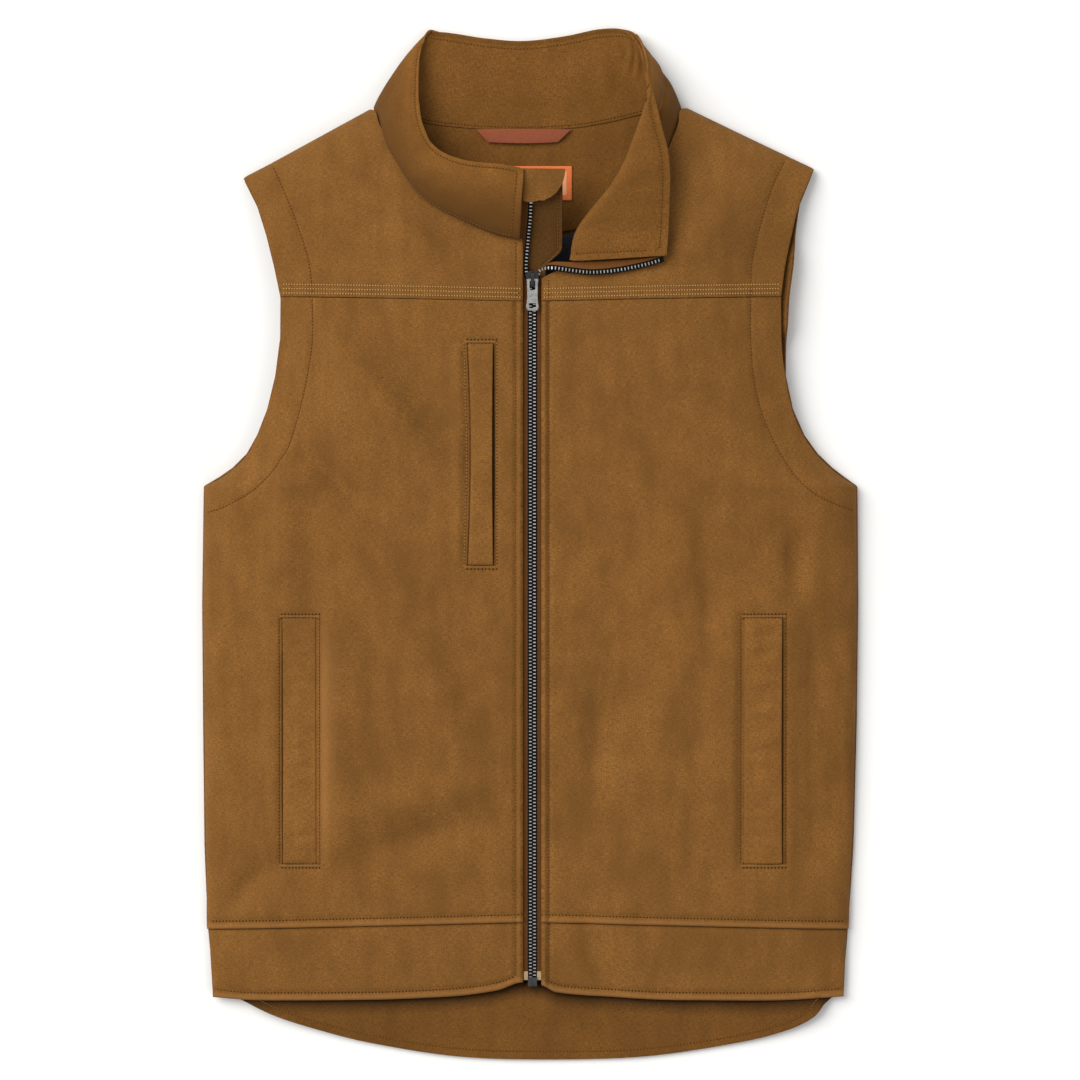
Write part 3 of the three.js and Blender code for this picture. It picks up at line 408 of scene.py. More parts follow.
def column(table, field, at):
    """Value of a table's column at a place along its first one, eased between rows without overshoot."""
    last = len(table) - 1
    if at <= table[0][0]:
        return table[0][field]
    if at >= table[last][0]:
        return table[last][field]
    row = 0
    while table[row + 1][0] < at:
        row += 1

    def rate(i):
        return (table[i + 1][field] - table[i][field]) / (table[i + 1][0] - table[i][0])

    def slope(i):
        if i == 0:
            return rate(0)
        if i == last:
            return rate(last - 1)
        before, after = rate(i - 1), rate(i)
        return 0.0 if before * after <= 0 else 2 * before * after / (before + after)

    step = table[row + 1][0] - table[row][0]
    t = (at - table[row][0]) / step
    s = 1 - t
    return (table[row][field] * s * s * (1 + 2 * t) + table[row + 1][field] * t * t * (3 - 2 * t)
            + step * t * s * (slope(row) * s - slope(row + 1) * t))


def hermite(a, b, out, into, t):
    """Point between a and b, leaving a along out and reaching b along into."""
    s = 1 - t
    return a * (s * s * (1 + 2 * t)) + b * (t * t * (3 - 2 * t)) + (out * s - into * t) * (s * t)


def on_curve(points, t, extended=False):
    """Point at t from 0 to 1 on the smooth curve through points."""
    at = clamp(t) * (len(points) - 1)
    i = min(int(at), len(points) - 2)
    a, b = points[i], points[i + 1]
    before = points[i - 1] if i else (a * 2 - b if extended else a)
    after = points[i + 2] if i + 2 < len(points) else (b * 2 - a if extended else b)
    return hermite(a, b, (b - before) * 0.5, (after - a) * 0.5, at - i)


def on_cord_curve(points, t):
    """Point at t from 0 to 1 on the curve through unevenly spaced points, without loops."""
    at = clamp(t) * (len(points) - 1)
    i = min(int(at), len(points) - 2)
    a, b = points[i], points[i + 1]
    before = points[i - 1] if i else a * 2 - b
    after = points[i + 2] if i + 2 < len(points) else b * 2 - a
    d0, d1, d2 = ((q - p).length ** 0.5 for p, q in ((before, a), (a, b), (b, after)))
    out = ((a - before) / d0 - (b - before) / (d0 + d1) + (b - a) / d1) * d1
    into = ((b - a) / d1 - (after - a) / (d1 + d2) + (after - b) / d2) * d1
    return hermite(a, b, out, into, at - i)


def plan(rows):
    return [Vector(row[:2]) for row in rows]


def through(rows):
    """Smooth curve through rows in plan, as a function from 0 to 1."""
    points = plan(rows)
    return lambda t: on_curve(points, t)


def straight(a, b):
    a, b = Vector(a), Vector(b)
    return lambda t: a.lerp(b, t)


def polyline(rows):
    points = plan(rows)

    def at(t):
        place = clamp(t) * (len(points) - 1)
        row = min(int(place), len(points) - 2)
        return points[row].lerp(points[row + 1], place - row)
    return at


def patch(foot, head, start, end):
    """Patch in plan between four boundary curves."""
    c00, c10, c01, c11 = foot(0), foot(1), head(0), head(1)

    def at(u, v):
        ruled = foot(u) * (1 - v) + head(u) * v + start(v) * (1 - u) + end(v) * u
        return ruled - c00 * ((1 - u) * (1 - v)) - c10 * (u * (1 - v)) - c01 * ((1 - u) * v) - c11 * (u * v)
    return at


def evenly(curve, pitch, samples=600, exact=False):
    """Points along a curve, a pitch apart; unless exact, the pitch is fitted to the curve's length."""
    dense = [curve(i / samples) for i in range(samples + 1)]
    total = sum((b - a).length for a, b in zip(dense, dense[1:]))
    count = max(int(total / pitch), 1)
    step = pitch if exact else total / count
    points, gone = [dense[0]], 0.0
    for a, b in zip(dense, dense[1:]):
        span = (b - a).length
        while span > 0 and gone + span >= step * len(points) and len(points) <= count:
            points.append(a.lerp(b, (step * len(points) - gone) / span))
        gone += span
    return points


# Lines of the vest in plan

def side_of(x):
    return "right" if x < CENTRE else "left"


def outline_x(side, y):
    return column(OUTLINE, OUTLINE_X[side], y)


def seam_line(seam, x):
    """Height in plan of the chest seam or the hem seam at x."""
    return lerp(seam["centre"], seam["edge"], clamp((abs(x) - SEAM_START) / seam["long"]))


def hem_seam_line(x):
    return seam_line(HEM_SEAM, x)


def hem_edge_line(x):
    return column(HEM_EDGE, 1, x)


def neck_seam(row, gap):
    """Place beside a row of the collar's neck seam, a gap away from the band, in plan."""
    neck, bend = Vector(COLLAR[row][0][:2]), Vector(COLLAR[row][1][:2])
    return neck + (neck - bend).normalized() * gap


def rows_between(a, b):
    return list(range(a, b + 1)) if b > a else list(range(a, b - 1, -1))


def yoke_neck(side):
    if side == "right":
        rows = [neck_seam(row, NECK_GAP) for row in rows_between(0, COLLAR_RIGHT_FRONT - 1)]
        rows[0].x = FRONT_EDGE["right"]
    else:
        rows = [Vector(row) for row in LEFT_OPENING]
        rows += [neck_seam(row, NECK_GAP) for row in rows_between(len(COLLAR) - 1, COLLAR_LEFT_SIDE)]
    return rows + [Vector(SHOULDER_END[side])]


def stitch_rows():
    """Each piece's stitch rows as curves in plan."""
    rows = {}

    def sew(piece, curve, kind="plain"):
        rows.setdefault(piece, []).append((curve, kind))

    gap, clear = ROW_INSET["end"], SEAM_CLEAR["front"]
    for side in SIDES:
        edge, top = OUTLINE[-1][OUTLINE_X[side]], CHEST_SEAM["edge"]
        out = math.copysign(1, edge)
        for above in CHEST_ROWS:
            start = (edge - out * gap, top + above)
            end = (FRONT_EDGE[side] + out * gap, CHEST_SEAM["centre"] + above)
            sew(f"{side}_yoke", straight(start, end), "bright")
        line = EDGE_ROW[side]
        foot = hem_edge_line(line) + ROW_INSET["zip_foot"]
        for part, low, high in (
                ("yoke", CHEST_SEAM["centre"] + SEAM_CLEAR["yoke"], EDGE_ROW_TOP[side]),
                ("front", HEM_SEAM["centre"] + clear, CHEST_SEAM["centre"] - clear),
                ("hem_band", foot, HEM_SEAM["centre"] - SEAM_CLEAR["hem_band"])):
            sew(f"{side}_{part}", straight((line, low), (line, high)))
        above = ROW_INSET["hem_seam"]
        start = (outline_x(side, HEM_SEAM["edge"]) - out, HEM_SEAM["edge"] + above)
        end = (FRONT_EDGE[side] + out, HEM_SEAM["centre"] + above)
        sew(f"{side}_front", straight(start, end), "heavy")
        low = outline_x(side, OUTLINE[0][0]) - out * gap
        xs = [lerp(low, line, i / 24) for i in range(25)]
        hem = [(x, hem_edge_line(x) + ROW_INSET["hem_edge"]) for x in xs]
        sew(f"{side}_hem_band", through(hem), "heavy")
        armhole = [row for row in ARMHOLE_ROW[side] if row[1] > top]
        below = ARMHOLE_ROW[side][len(armhole):]
        crossing = lerp(armhole[-1][0], below[0][0], ARMHOLE_CROSSING)
        sew(f"{side}_yoke", through([*armhole, (crossing, top + clear)]))
        sew(f"{side}_front", through([(crossing, top - clear), *below]))
    for name, (x, y, _) in WELTS.items():
        piece = f"{side_of(x[0])}_front"
        left, right = x[0] - WELT_FRAME["side"], x[1] + WELT_FRAME["side"]
        foot, head = y[0] - WELT_FRAME["end"], y[1] + WELT_FRAME["end"]
        bow = WELT_BOW[name]
        kind = "frame" if bow else "plain"
        sew(piece, through([(left, foot), (left + bow, (foot + head) / 2), (left, head)]), kind)
        sew(piece, through([(right, foot), (right, head)]), kind)
        beside_tack = WELT_FRAME["beside_tack"]
        for level in (foot, head):
            for shift, row_kind in ((0.0, "tack"), (beside_tack, "heavy"), (-beside_tack, "heavy")):
                sew(piece, straight((left, level + shift), (right, level + shift)), row_kind)
    flap_row = WIND_FLAP["left"] - ROW_INSET["flap"]
    sew("wind_flap", straight(*((flap_row, y) for y in FLAP_ROW)))
    centre = Vector(TAIL_CENTRE)
    tail = [point + (centre - point).normalized() * ROW_INSET["tail"] for point in plan(TAIL)]
    sew("back_panel", through(tail))
    return rows


STITCH_ROWS = stitch_rows()


def row_tree():
    """Nearest-point search over all stitch rows in plan."""
    curves = [curve for rows in STITCH_ROWS.values() for curve, _ in rows]
    points = [point for curve in curves for point in evenly(curve, ROW_STEP)]
    tree = kdtree.KDTree(len(points))
    for i, point in enumerate(points):
        tree.insert(point.to_3d(), i)
    tree.balance()
    return tree


ROW_TREE = row_tree()


# Surfaces of the vest, in millimetres

def drape(x, y):
    """Long soft waves that run in from the armholes."""
    turn = math.radians(DRAPE[side_of(x)])
    along = x * math.cos(turn) + y * math.sin(turn)
    across = y * math.cos(turn) - x * math.sin(turn)
    return DRAPE["height"] * uneven("drape", along, across)


def soft_folds(folds, x, y):
    """Height at a place of folds, each a long rounded ridge or dent."""
    rise = 0.0
    for fold_x, fold_y, bearing, long, wide, height in folds:
        turn = math.radians(bearing)
        along = (x - fold_x) * math.cos(turn) + (y - fold_y) * math.sin(turn)
        across = (y - fold_y) * math.cos(turn) - (x - fold_x) * math.sin(turn)
        rise += height * math.exp(-(along / long) ** 2 - (across / wide) ** 2)
    return rise


def fold_height(x, y):
    return drape(x, y) + FOLD_DEPTH * soft_folds(FOLDS, x, y)


def away_from_zip(x):
    return ease(abs(x - CENTRE), *FOLD_START["zip"])


def crumple(x, y, height):
    """Small uneven waves in the cloth."""
    return height * (uneven("broad", x, y) + FINE_SHARE * uneven("fine", x, y))


def seam_pull(x, y, groove):
    """How stitch rows pull the cloth in, with small puckers beside them."""
    distance = ROW_TREE.find((x, y, 0.0))[2]
    pucker = uneven("pucker", x, y) * hump(distance, 0, PUCKER["reach"])
    return groove * (PUCKER["share"] * pucker - hump(distance, 0, GROOVE_WIDTH))


def chest_ridge(x, y):
    """The yoke's folded edge, which stands up a little along the chest seam."""
    return CHEST_RIDGE["height"] * plateau(y - seam_line(CHEST_SEAM, x), *CHEST_RIDGE["y"])


def pocket_bulge(name, from_sewn, from_mouth):
    """Bulge beside a hand pocket's sewn edge, and the fall beyond its mouth."""
    height, depth = POCKET_HEIGHTS[name]
    return height * plateau(from_sewn, *POCKET_BULGE) - depth * plateau(from_mouth, *POCKET_FALL)


def pocket_dip(x, y):
    """How the front sinks under a welt and along the pocket's mouth, and bulges beside it."""
    dip = 0.0
    reach_x, reach_y = WELT_SINK["reach"]
    for name, ((left, right), (foot, head), opening) in WELTS.items():
        sewn, mouth = (left, right) if opening > 0 else (right, left)
        from_sewn, from_mouth = opening * (sewn - x), opening * (x - mouth)
        if name in POCKET_HEIGHTS:
            dip += pocket_bulge(name, from_sewn, from_mouth) * within(y, foot, head, *POCKET_ENDS)
        if left - reach_x < x < right + reach_x and foot - reach_y < y < head + reach_y:
            under = WELT_SINK["under"] * within(x, left, right, *WELT_SINK["sides"])
            beside = WELT_SINK["mouth"] * hump(from_mouth, WELT_SINK["from_mouth"], WELT_SINK["width"])
            ridge = 0.0
            if name not in POCKET_HEIGHTS:
                size = CHEST_POCKET_RIDGE
                ridge = size["height"] * hump(from_sewn, size["from_sewn"], size["width"])
            dip += within(y, foot, head, *WELT_SINK["ends"]) * (ridge - under - beside)
    return dip


def front_height(x, y):
    """Height of the front's outer face below the chest seam."""
    inset = abs(x - outline_x(side_of(x), y))
    reach = 1 - min(inset / REACH, 1)
    rounded, sloped = math.sqrt(1 - reach * reach), 1 - reach * reach
    edge = column(HEIGHTS, EDGE, y)
    rise = column(HEIGHTS, CROWN, y) - edge
    folds = ease(inset, *FOLD_START["side"]) * away_from_zip(x) * fold_height(x, y)
    return edge + rise * lerp(sloped, rounded, column(HEIGHTS, FOLD, y)) + folds


def relief(cloth, x, y):
    groove = bpy.context.scene.vest_stitching.groove / MM
    return crumple(x, y, cloth.crumple / MM) + seam_pull(x, y, groove)


def edge_roll(inset, width=2.2, drop=1.1):
    """Drop of a turned edge close to its fold."""
    return -drop * max(0.0, 1 - inset / width) ** 2


def turned_edge(inset):
    """Profile of a turned and stitched edge: it swells between its fold and the stitches, which are sunk."""
    swell = hump(inset, EDGE_SWELL["at"], EDGE_SWELL["width"])
    sink = EDGE_SINK["depth"] * hump(inset, EDGE_SINK["at"], EDGE_SINK["width"])
    return edge_roll(inset) + swell - sink


def edge_bead(from_edge, height, width, sink, sink_at, sink_width):
    """Profile of a beaded edge, with a sunk line below the bead."""
    return height * hump(from_edge, 0, width) - sink * hump(from_edge, sink_at, sink_width)


def mirrored(side, u):
    return u if side == "right" else 1 - u


def inward_share(side, u):
    """Share of the way from the front's side to the zip; the cells are closest at both."""
    return (1 - (1 - mirrored(side, u)) ** 1.5) ** 1.5


# Rows of the front's cells, closer together at the hem seam and the armhole: share of the rows, and y
FRONT_ROWS = ((0.0, -322.0), (0.04, -306.0), (0.56, 30.0), (0.76, 95.0), (1.0, 206.0))


def front_row(v):
    i = next(i for i in range(len(FRONT_ROWS) - 1) if v <= FRONT_ROWS[i + 1][0] + 1e-9)
    (v0, y0), (v1, y1) = FRONT_ROWS[i], FRONT_ROWS[i + 1]
    return lerp(y0, y1, clamp((v - v0) / (v1 - v0)))


def front_surface(side, cloth):
    def at(u, v):
        y = front_row(v)
        inward = inward_share(side, u)
        share = (y - HEM_SEAM["edge"]) / (CHEST_SEAM["edge"] - HEM_SEAM["edge"])
        edge = outline_x(side, y)
        x = lerp(edge, FRONT_EDGE[side], inward)
        low = 1 - ease(y, HEM_SEAM["edge"], HEM_SEAM["edge"] + HEM_FLARE["high"])
        flare = math.copysign(HEM_FLARE["out"], edge) * low * (1 - inward) ** 6
        seam = lerp(HEM_SEAM["edge"], HEM_SEAM["centre"], inward)
        level = lerp(y, lerp(HEM_SEAM["centre"], CHEST_SEAM["centre"], share), inward)
        height = front_height(x, level) + relief(cloth, x, level) + pocket_dip(x, level)
        height += turned_edge(abs(x - FRONT_EDGE[side])) + turned_edge(level - seam)
        return Vector((x + flare, level, height))
    return at


def yoke_ease(v):
    return 1 - (1 - v) ** 1.5


YOKE_CENTRE_SHARE = 2 / 9


def yoke_surface(side, cloth):
    corner = Vector((FRONT_EDGE[side], CHEST_SEAM["centre"] + SEAM_GAP))
    armhole_rows = plan(YOKE_ARMHOLE[side])
    armhole_rows[0].y += SEAM_GAP
    foot = straight(armhole_rows[0], corner)
    neck = yoke_neck(side)
    neck_curve, armhole_curve = through(neck), through(armhole_rows)
    opening = straight(corner, neck[0])

    def inner(t):
        if t <= YOKE_CENTRE_SHARE:
            return opening(t / YOKE_CENTRE_SHARE)
        return neck_curve(yoke_ease((t - YOKE_CENTRE_SHARE) / (1 - YOKE_CENTRE_SHARE)))

    shoulder = straight(armhole_rows[-1], SHOULDER_END[side])
    in_plan = patch(foot, shoulder, lambda t: armhole_curve(yoke_ease(t)), inner)

    def at(u, v):
        across = mirrored(side, u)
        place, seam = in_plan(across, v), foot(across)
        crown = front_height(seam.x, seam.y) + YOKE_STEP
        drop = 1 - math.sqrt(max(0.0, 1 - yoke_ease(v) ** 2))
        inside = ease(across, *YOKE_FOLDS["across"]) * plateau(v, *YOKE_FOLDS["up"])
        folds = inside * away_from_zip(place.x) * fold_height(place.x, place.y)
        height = lerp(crown, SHOULDER_HEIGHT, drop) + folds + relief(cloth, place.x, place.y)
        height += chest_ridge(place.x, place.y)
        height += edge_roll((place - seam).length, **YOKE_ROLL)
        if v < YOKE_CENTRE_SHARE:
            height += edge_roll(abs(place.x - FRONT_EDGE[side]))
        return Vector((place.x, place.y, height))
    return at


def hem_surface(side, cloth):
    def at(u, v):
        inward = inward_share(side, u)
        y = lerp(OUTLINE[0][0], HEM_SEAM["edge"], v)
        x = lerp(outline_x(side, y), FRONT_EDGE[side], inward)
        seam = lerp(HEM_SEAM["edge"], HEM_SEAM["centre"], inward) - SEAM_GAP
        low = hem_edge_line(x)
        level = lerp(low, seam, v)
        step = BAND_STEP * ease(inward, *BAND_STEP_START)
        height = front_height(x, level) - step + relief(cloth, x, level)
        height += turned_edge(level - low) + turned_edge(abs(x - FRONT_EDGE[side]))
        height -= HEM_GROOVE["depth"] * hump(seam - level, 0, HEM_GROOVE["width"])
        return Vector((x, level, max(height, LEAST_HEM_HEIGHT)))
    return at


def back_sides():
    sides = {}
    for side in SIDES:
        out = BACK_ARMHOLE[side] * (1 if side == "left" else -1)

        def wider(y):
            return out * plateau(y, *ARMHOLE_LIFT["y"])
        low = [(row[OUTLINE_X[side]] + wider(row[0]), max(row[0], TAIL[0][1])) for row in OUTLINE[:-1]]
        sides[side] = low + [(x + wider(y), y) for x, y in YOKE_ARMHOLE[side]]
    return sides


def spread(u):
    return 0.5 - 0.5 * math.cos(math.pi * u)


SHOULDER_SHARE = spread(0.3)


def back_surface(cloth):
    sides = back_sides()
    ends = [Vector(BACK_SHOULDER_END[side]) for side in SIDES]
    neck = [neck_seam(row, BACK_NECK_GAP) for row in rows_between(*COLLAR_BACK)]
    neck_curve = through([ends[0], *neck, ends[1]])
    shoulders = [straight(YOKE_ARMHOLE[side][-1], end) for side, end in zip(SIDES, ends)]

    def head(u):
        if u < SHOULDER_SHARE:
            return shoulders[0](u / SHOULDER_SHARE)
        if u > 1 - SHOULDER_SHARE:
            return shoulders[1]((1 - u) / SHOULDER_SHARE)
        return neck_curve((u - SHOULDER_SHARE) / (1 - 2 * SHOULDER_SHARE))

    in_plan = patch(through(TAIL), head, polyline(sides["right"]), polyline(sides["left"]))
    tail = cloth.thickness / MM

    def at(u, v):
        across = spread(u)
        place = in_plan(across, v)
        inset = min(across, 1 - across) * WIDTH
        curl = max(0.0, 1 - inset / BACK_CURL["width"]) ** 2 * ease(v, *BACK_CURL["start"])
        shoulder = max(0.0, 1 - (1 - v) / BACK_SHOULDER["width"]) ** 2
        shoulder *= ease(abs(across - 0.5), *BACK_SHOULDER["start"])
        lift = BACK_CURL["rise"] * max(curl, shoulder)
        shown = 1 - ease(place.y, *TAIL_WAVE["hidden"])
        wave = TAIL_WAVE["height"] * (1 + uneven("tail", place.x, place.y))
        lift += max(shown * (wave + seam_pull(place.x, place.y, TAIL_WAVE["groove"])), 0.0)
        rise = TAIL_RISE["height"] * hump(place.y, TAIL_RISE["y"], TAIL_RISE["width"])
        lift += rise * ease(inset, *TAIL_RISE["inset"])
        if across > 0.5:
            edge = max(0.0, 1 - inset / ARMHOLE_LIFT["width"])
            lift += ARMHOLE_LIFT["height"] * plateau(place.y, *ARMHOLE_LIFT["y"]) * edge
        return Vector((place.x, place.y, tail + lift))
    return at


def facing_foot(u, gap):
    x = lerp(-NECK_FACING["side"], NECK_FACING["side"], u)
    share = (x / NECK_FACING["side"]) ** 2
    return Vector((x, lerp(NECK_FACING["middle"], NECK_FACING["corner"], share) - gap))


def facing_surface(height):
    neck = through([neck_seam(row, FACING_NECK_GAP) for row in rows_between(*COLLAR_BACK)])
    in_plan = patch(lambda u: facing_foot(u, 0), neck, straight(facing_foot(0, 0), neck(0)),
                    straight(facing_foot(1, 0), neck(1)))

    def at(u, v):
        place = in_plan(u, v)
        wave = NECK_FACING["wave"] * uneven("facing", place.x, place.y) * half_wave(v)
        return Vector((place.x, place.y, height + wave))
    return at


def lining_surface(height):
    def at(u, v):
        out = abs(2 * u - 1)
        beside = lerp(LINING["shoulder"], LINING["armhole"], (out - LINING["share"]) / (1 - LINING["share"]))
        below = facing_foot(0.5 + (u - 0.5) / LINING["share"], LINING["gap"]).y
        y = lerp(LINING["foot"], beside if out > LINING["share"] else below, v)
        x = lerp(outline_x("right", y) + LINING["inset"], outline_x("left", y) - LINING["inset"], u)
        return Vector((x, y, height + LINING["wave"] * uneven("lining", x, y)))
    return at


# Collar band

COLLAR_LINES = [[Vector(row[i]) for row in COLLAR] for i in range(3)]
COLLAR_STEPS = 32


@lru_cache(maxsize=4096)
def collar_section(u):
    neck, bend, edge = (on_curve(line, u, True) for line in COLLAR_LINES)
    return neck, bend * 2 - neck * 0.5 - edge * 0.5, edge


def collar_middle(u, v):
    neck, pull, edge = collar_section(round(clamp(u), 6))
    return neck * (1 - v) ** 2 + pull * (2 * v * (1 - v)) + edge * (v * v)


@lru_cache(maxsize=8192)
def collar_lengths(u):
    """Lengths along the band at u from its neck seam, in even steps of v."""
    points = [collar_middle(u, i / COLLAR_STEPS) for i in range(COLLAR_STEPS + 1)]
    return list(accumulate(((b - a).length for a, b in zip(points, points[1:])), initial=0.0))


def collar_height(u):
    """Length of the band at u from neck seam to edge."""
    return collar_lengths(round(clamp(u), 6))[-1]


def collar_reach(u, v):
    """Length along the band at u from its neck seam to v."""
    lengths = collar_lengths(round(clamp(u), 6))
    at = clamp(v) * COLLAR_STEPS
    i = min(int(at), COLLAR_STEPS - 1)
    return lerp(lengths[i], lengths[i + 1], at - i)


def collar_place(u, length):
    """Value of v at a length along the band from its neck seam."""
    lengths = collar_lengths(round(clamp(u), 6))
    i = min(max(bisect_right(lengths, length) - 1, 0), COLLAR_STEPS - 1)
    return (i + (length - lengths[i]) / (lengths[i + 1] - lengths[i])) / COLLAR_STEPS


def collar_normal(u, v):
    """Unit normal of the band, to the inside of the neck."""
    small = 2e-3
    along = collar_middle(min(u + small, 1), v) - collar_middle(max(u - small, 0), v)
    up = collar_middle(u, min(v + small, 1)) - collar_middle(u, max(v - small, 0))
    return along.cross(up).normalized()


COLLAR_LENGTH = sum(
    (collar_middle((i + 1) / 200, 0.5) - collar_middle(i / 200, 0.5)).length for i in range(200))

# Collar's stitch rows, from its edges, ends and neck seam, and its forms; places along it are shares
COLLAR_ROW = 6.8
COLLAR_OUTER_ROW = 3.2
COLLAR_NECK_ROW = 2.6
COLLAR_GROOVE = {"depth": 0.5, "edge": 1.6, "end": 1.8}
LAPEL_END = {"stretch": 1.25, "row": 0.8}
COLLAR_BEAD = {"height": 1.0, "width": 2.4, "sink": 0.8, "sink_at": 4.0, "sink_width": 1.5}
COLLAR_LIFT = {"even": 0.2, "bead": 0.75, "groove": 0.7}
COLLAR_BULGE = 7.5
COLLAR_BULGE_END = (0.2, 0.34)
COLLAR_WAVE = 1.1
COLLAR_EVENNESS = 0.35
COLLAR_FLOOR = (4.0, 9.0)
COLLAR_DENT = {"depth": 2.4, "u": (0.64, 0.69, 0.75, 0.82), "width": 0.08}
LAPEL = {"calm": (0.76, 0.86), "calm_share": 0.8, "puff": 1.6, "puff_start": (0.8, 0.9)}

# Creases where the collar turns forward: share along, up, bearing, half length, half width, height
COLLAR_FOLDS = [(u * COLLAR_LENGTH, up, *rest) for u, up, *rest in (
    (0.594, 48, 62, 13, 2.7, 1.7), (0.607, 43, 62, 13, 2.7, 1.9), (0.58, 54, 100, 10, 2.7, 1.3),
    (0.555, 38, 84, 22, 4.5, 1.0), (0.525, 36, 96, 24, 6, 0.8), (0.44, 38, 90, 22, 7, 0.6),
)]


def collar_pull(u, v, from_edge):
    """Groove of the stitch rows near the band's edges, and small waves, along its normal."""
    from_start, from_end = u * COLLAR_LENGTH, (1 - u) * COLLAR_LENGTH * LAPEL_END["stretch"]
    groove = hump(from_edge, COLLAR_ROW, COLLAR_GROOVE["edge"])
    for distance in (from_start, from_end):
        groove += hump(distance, COLLAR_ROW, COLLAR_GROOVE["end"])
    middle = half_wave(clamp(v)) ** 0.5
    wave = uneven("collar", u, v) + 0.5 * uneven("collar_fine", u, v)
    crease = soft_folds(COLLAR_FOLDS, u * COLLAR_LENGTH, v * collar_height(u))
    return -COLLAR_GROOVE["depth"] * groove, middle * (COLLAR_WAVE * wave + crease)


def collar_surface(layer):
    """Surface of one of the band's two layers: 1 for the inner, -1 for the outer."""
    def at(u, t):
        height = collar_height(u)
        v = lerp(t, collar_place(u, t * height), COLLAR_EVENNESS)
        from_edge = height - collar_reach(u, v)
        share = 1 - from_edge / height
        groove, wave = collar_pull(u, v, from_edge)
        bead = edge_bead(from_edge, **COLLAR_BEAD)
        lift = layer * (COLLAR_LIFT["even"] + COLLAR_LIFT["bead"] * bead + COLLAR_LIFT["groove"] * groove)
        middle = collar_middle(u, v)
        on_floor = 1 - ease(middle.z, *COLLAR_FLOOR)
        wave = lerp(wave, max(wave, 0.0), on_floor)
        wave *= 1 - LAPEL["calm_share"] * ease(u, *LAPEL["calm"])
        if layer < 0:
            wave -= COLLAR_BULGE * (1 - ease(u, *COLLAR_BULGE_END)) * half_wave(clamp(share) ** 0.55)
            behind = plateau(u, *COLLAR_DENT["u"])
            wave += COLLAR_DENT["depth"] * behind * hump(share, 0.5, COLLAR_DENT["width"])
            if on_floor > 0:
                lift = max(lift, -COLLAR_LIFT["even"])
        wave += LAPEL["puff"] * ease(u, *LAPEL["puff_start"]) * half_wave(clamp(share)) ** 0.6
        return middle + collar_normal(u, v) * (lift + wave)
    return at


# Paths of the zip

def crown_at(y):
    return column(HEIGHTS, CROWN, min(y, CHEST_SEAM["centre"]))


ROW_X = {side: CENTRE + out * (TEETH["part"] + TEETH["width"] / 2) for side, out in zip(SIDES, (-1, 1))}


def row_path(side, count=None):
    """Middle line of a row of teeth, as a function from 0 to 1."""
    closed = [Vector((ROW_X[side], y, crown_at(y) - TEETH["sink"])) for y in (TEETH["foot"], *CLOSED_ROWS)]
    points = closed + [Vector(point) for point in UPPER_ROW[side][:count]]
    return lambda t: on_cord_curve(points, t)


def lapel_path():
    points = [Vector(point) for point in UPPER_ROW["left"][LAPEL_START:]]
    return lambda t: on_cord_curve(points, t)


def lapel_tape_width(v):
    place = clamp(v) * (len(LAPEL_TAPE) - 1)
    row = min(int(place), len(LAPEL_TAPE) - 2)
    return lerp(LAPEL_TAPE[row], LAPEL_TAPE[row + 1], place - row)


def beside(path, t, reach):
    """Point beside a path, across it in plan."""
    way = path(min(t + 1e-3, 1)) - path(max(t - 1e-3, 0))
    return path(t) + Vector((way.y, -way.x, 0)).normalized() * reach


def strip_surface(path, left, right, rise):
    def at(u, v):
        return beside(path, v, lerp(left(v), right(v), u)) + Vector((0, 0, rise))
    return at


def flap_path():
    levels = (WIND_FLAP["foot"], *FLAP_LEVELS)
    points = [Vector((CENTRE, y, crown_at(y) - WIND_FLAP["sink"])) for y in levels]
    rows = [*UPPER_ROW["right"][3:-1], (0, WIND_FLAP["top"], UPPER_ROW["right"][-1][2])]
    points += [Vector((CENTRE, y, z + WIND_FLAP["below"] - WIND_FLAP["sink"])) for _, y, z in rows]
    return lambda t: on_cord_curve(points, t)


def garage_surface(u, v):
    reach = u * (GARAGE["flat"] + (GARAGE["long"] - GARAGE["flat"]) * math.sqrt(1 - (1 - v) ** 2))
    y = lerp(GARAGE["foot"], GARAGE["top"], v) - GARAGE["sag"] * half_wave(u) * (1 - v)
    droop = GARAGE["droop"] * (reach / GARAGE["long"]) ** 1.5
    wave = GARAGE["wave"] * math.sin(reach / GARAGE["wave_long"]) * v
    return Vector((GARAGE["x"] + reach, y, GARAGE["height"] - droop + wave))


# Materials

def node(tree, kind, inputs=None, **settings):
    """Adds a node; an input is given as a value, or as the socket that feeds it."""
    made = tree.nodes.new(kind)
    for name, value in settings.items():
        setattr(made, name, value)
    for key, value in (inputs or {}).items():
        if isinstance(value, bpy.types.NodeSocket):
            tree.links.new(value, made.inputs[key])
        else:
            made.inputs[key].default_value = value
    return made


def maths(tree, operation, *values):
    return node(tree, "ShaderNodeMath", dict(enumerate(values)), operation=operation).outputs[0]


def blended(tree, share, a, b):
    mix = node(tree, "ShaderNodeMix", {0: share, 6: a, 7: b}, data_type="RGBA")
    return mix.outputs[2]


def speckle(tree, vector, scale, detail=2.0, stretch=None):
    if stretch:
        longer = node(tree, "ShaderNodeVectorMath", {0: vector, 1: stretch}, operation="MULTIPLY")
        vector = longer.outputs[0]
    grains = node(tree, "ShaderNodeTexNoise", {"Vector": vector, "Scale": scale, "Detail": detail})
    return grains.outputs["Fac"]


def weighted(tree, a, share_a, b, share_b):
    return maths(tree, "ADD", maths(tree, "MULTIPLY", a, share_a), maths(tree, "MULTIPLY", b, share_b))


def split(tree, vector):
    """The three parts of a vector."""
    return node(tree, "ShaderNodeSeparateXYZ", {0: vector}).outputs


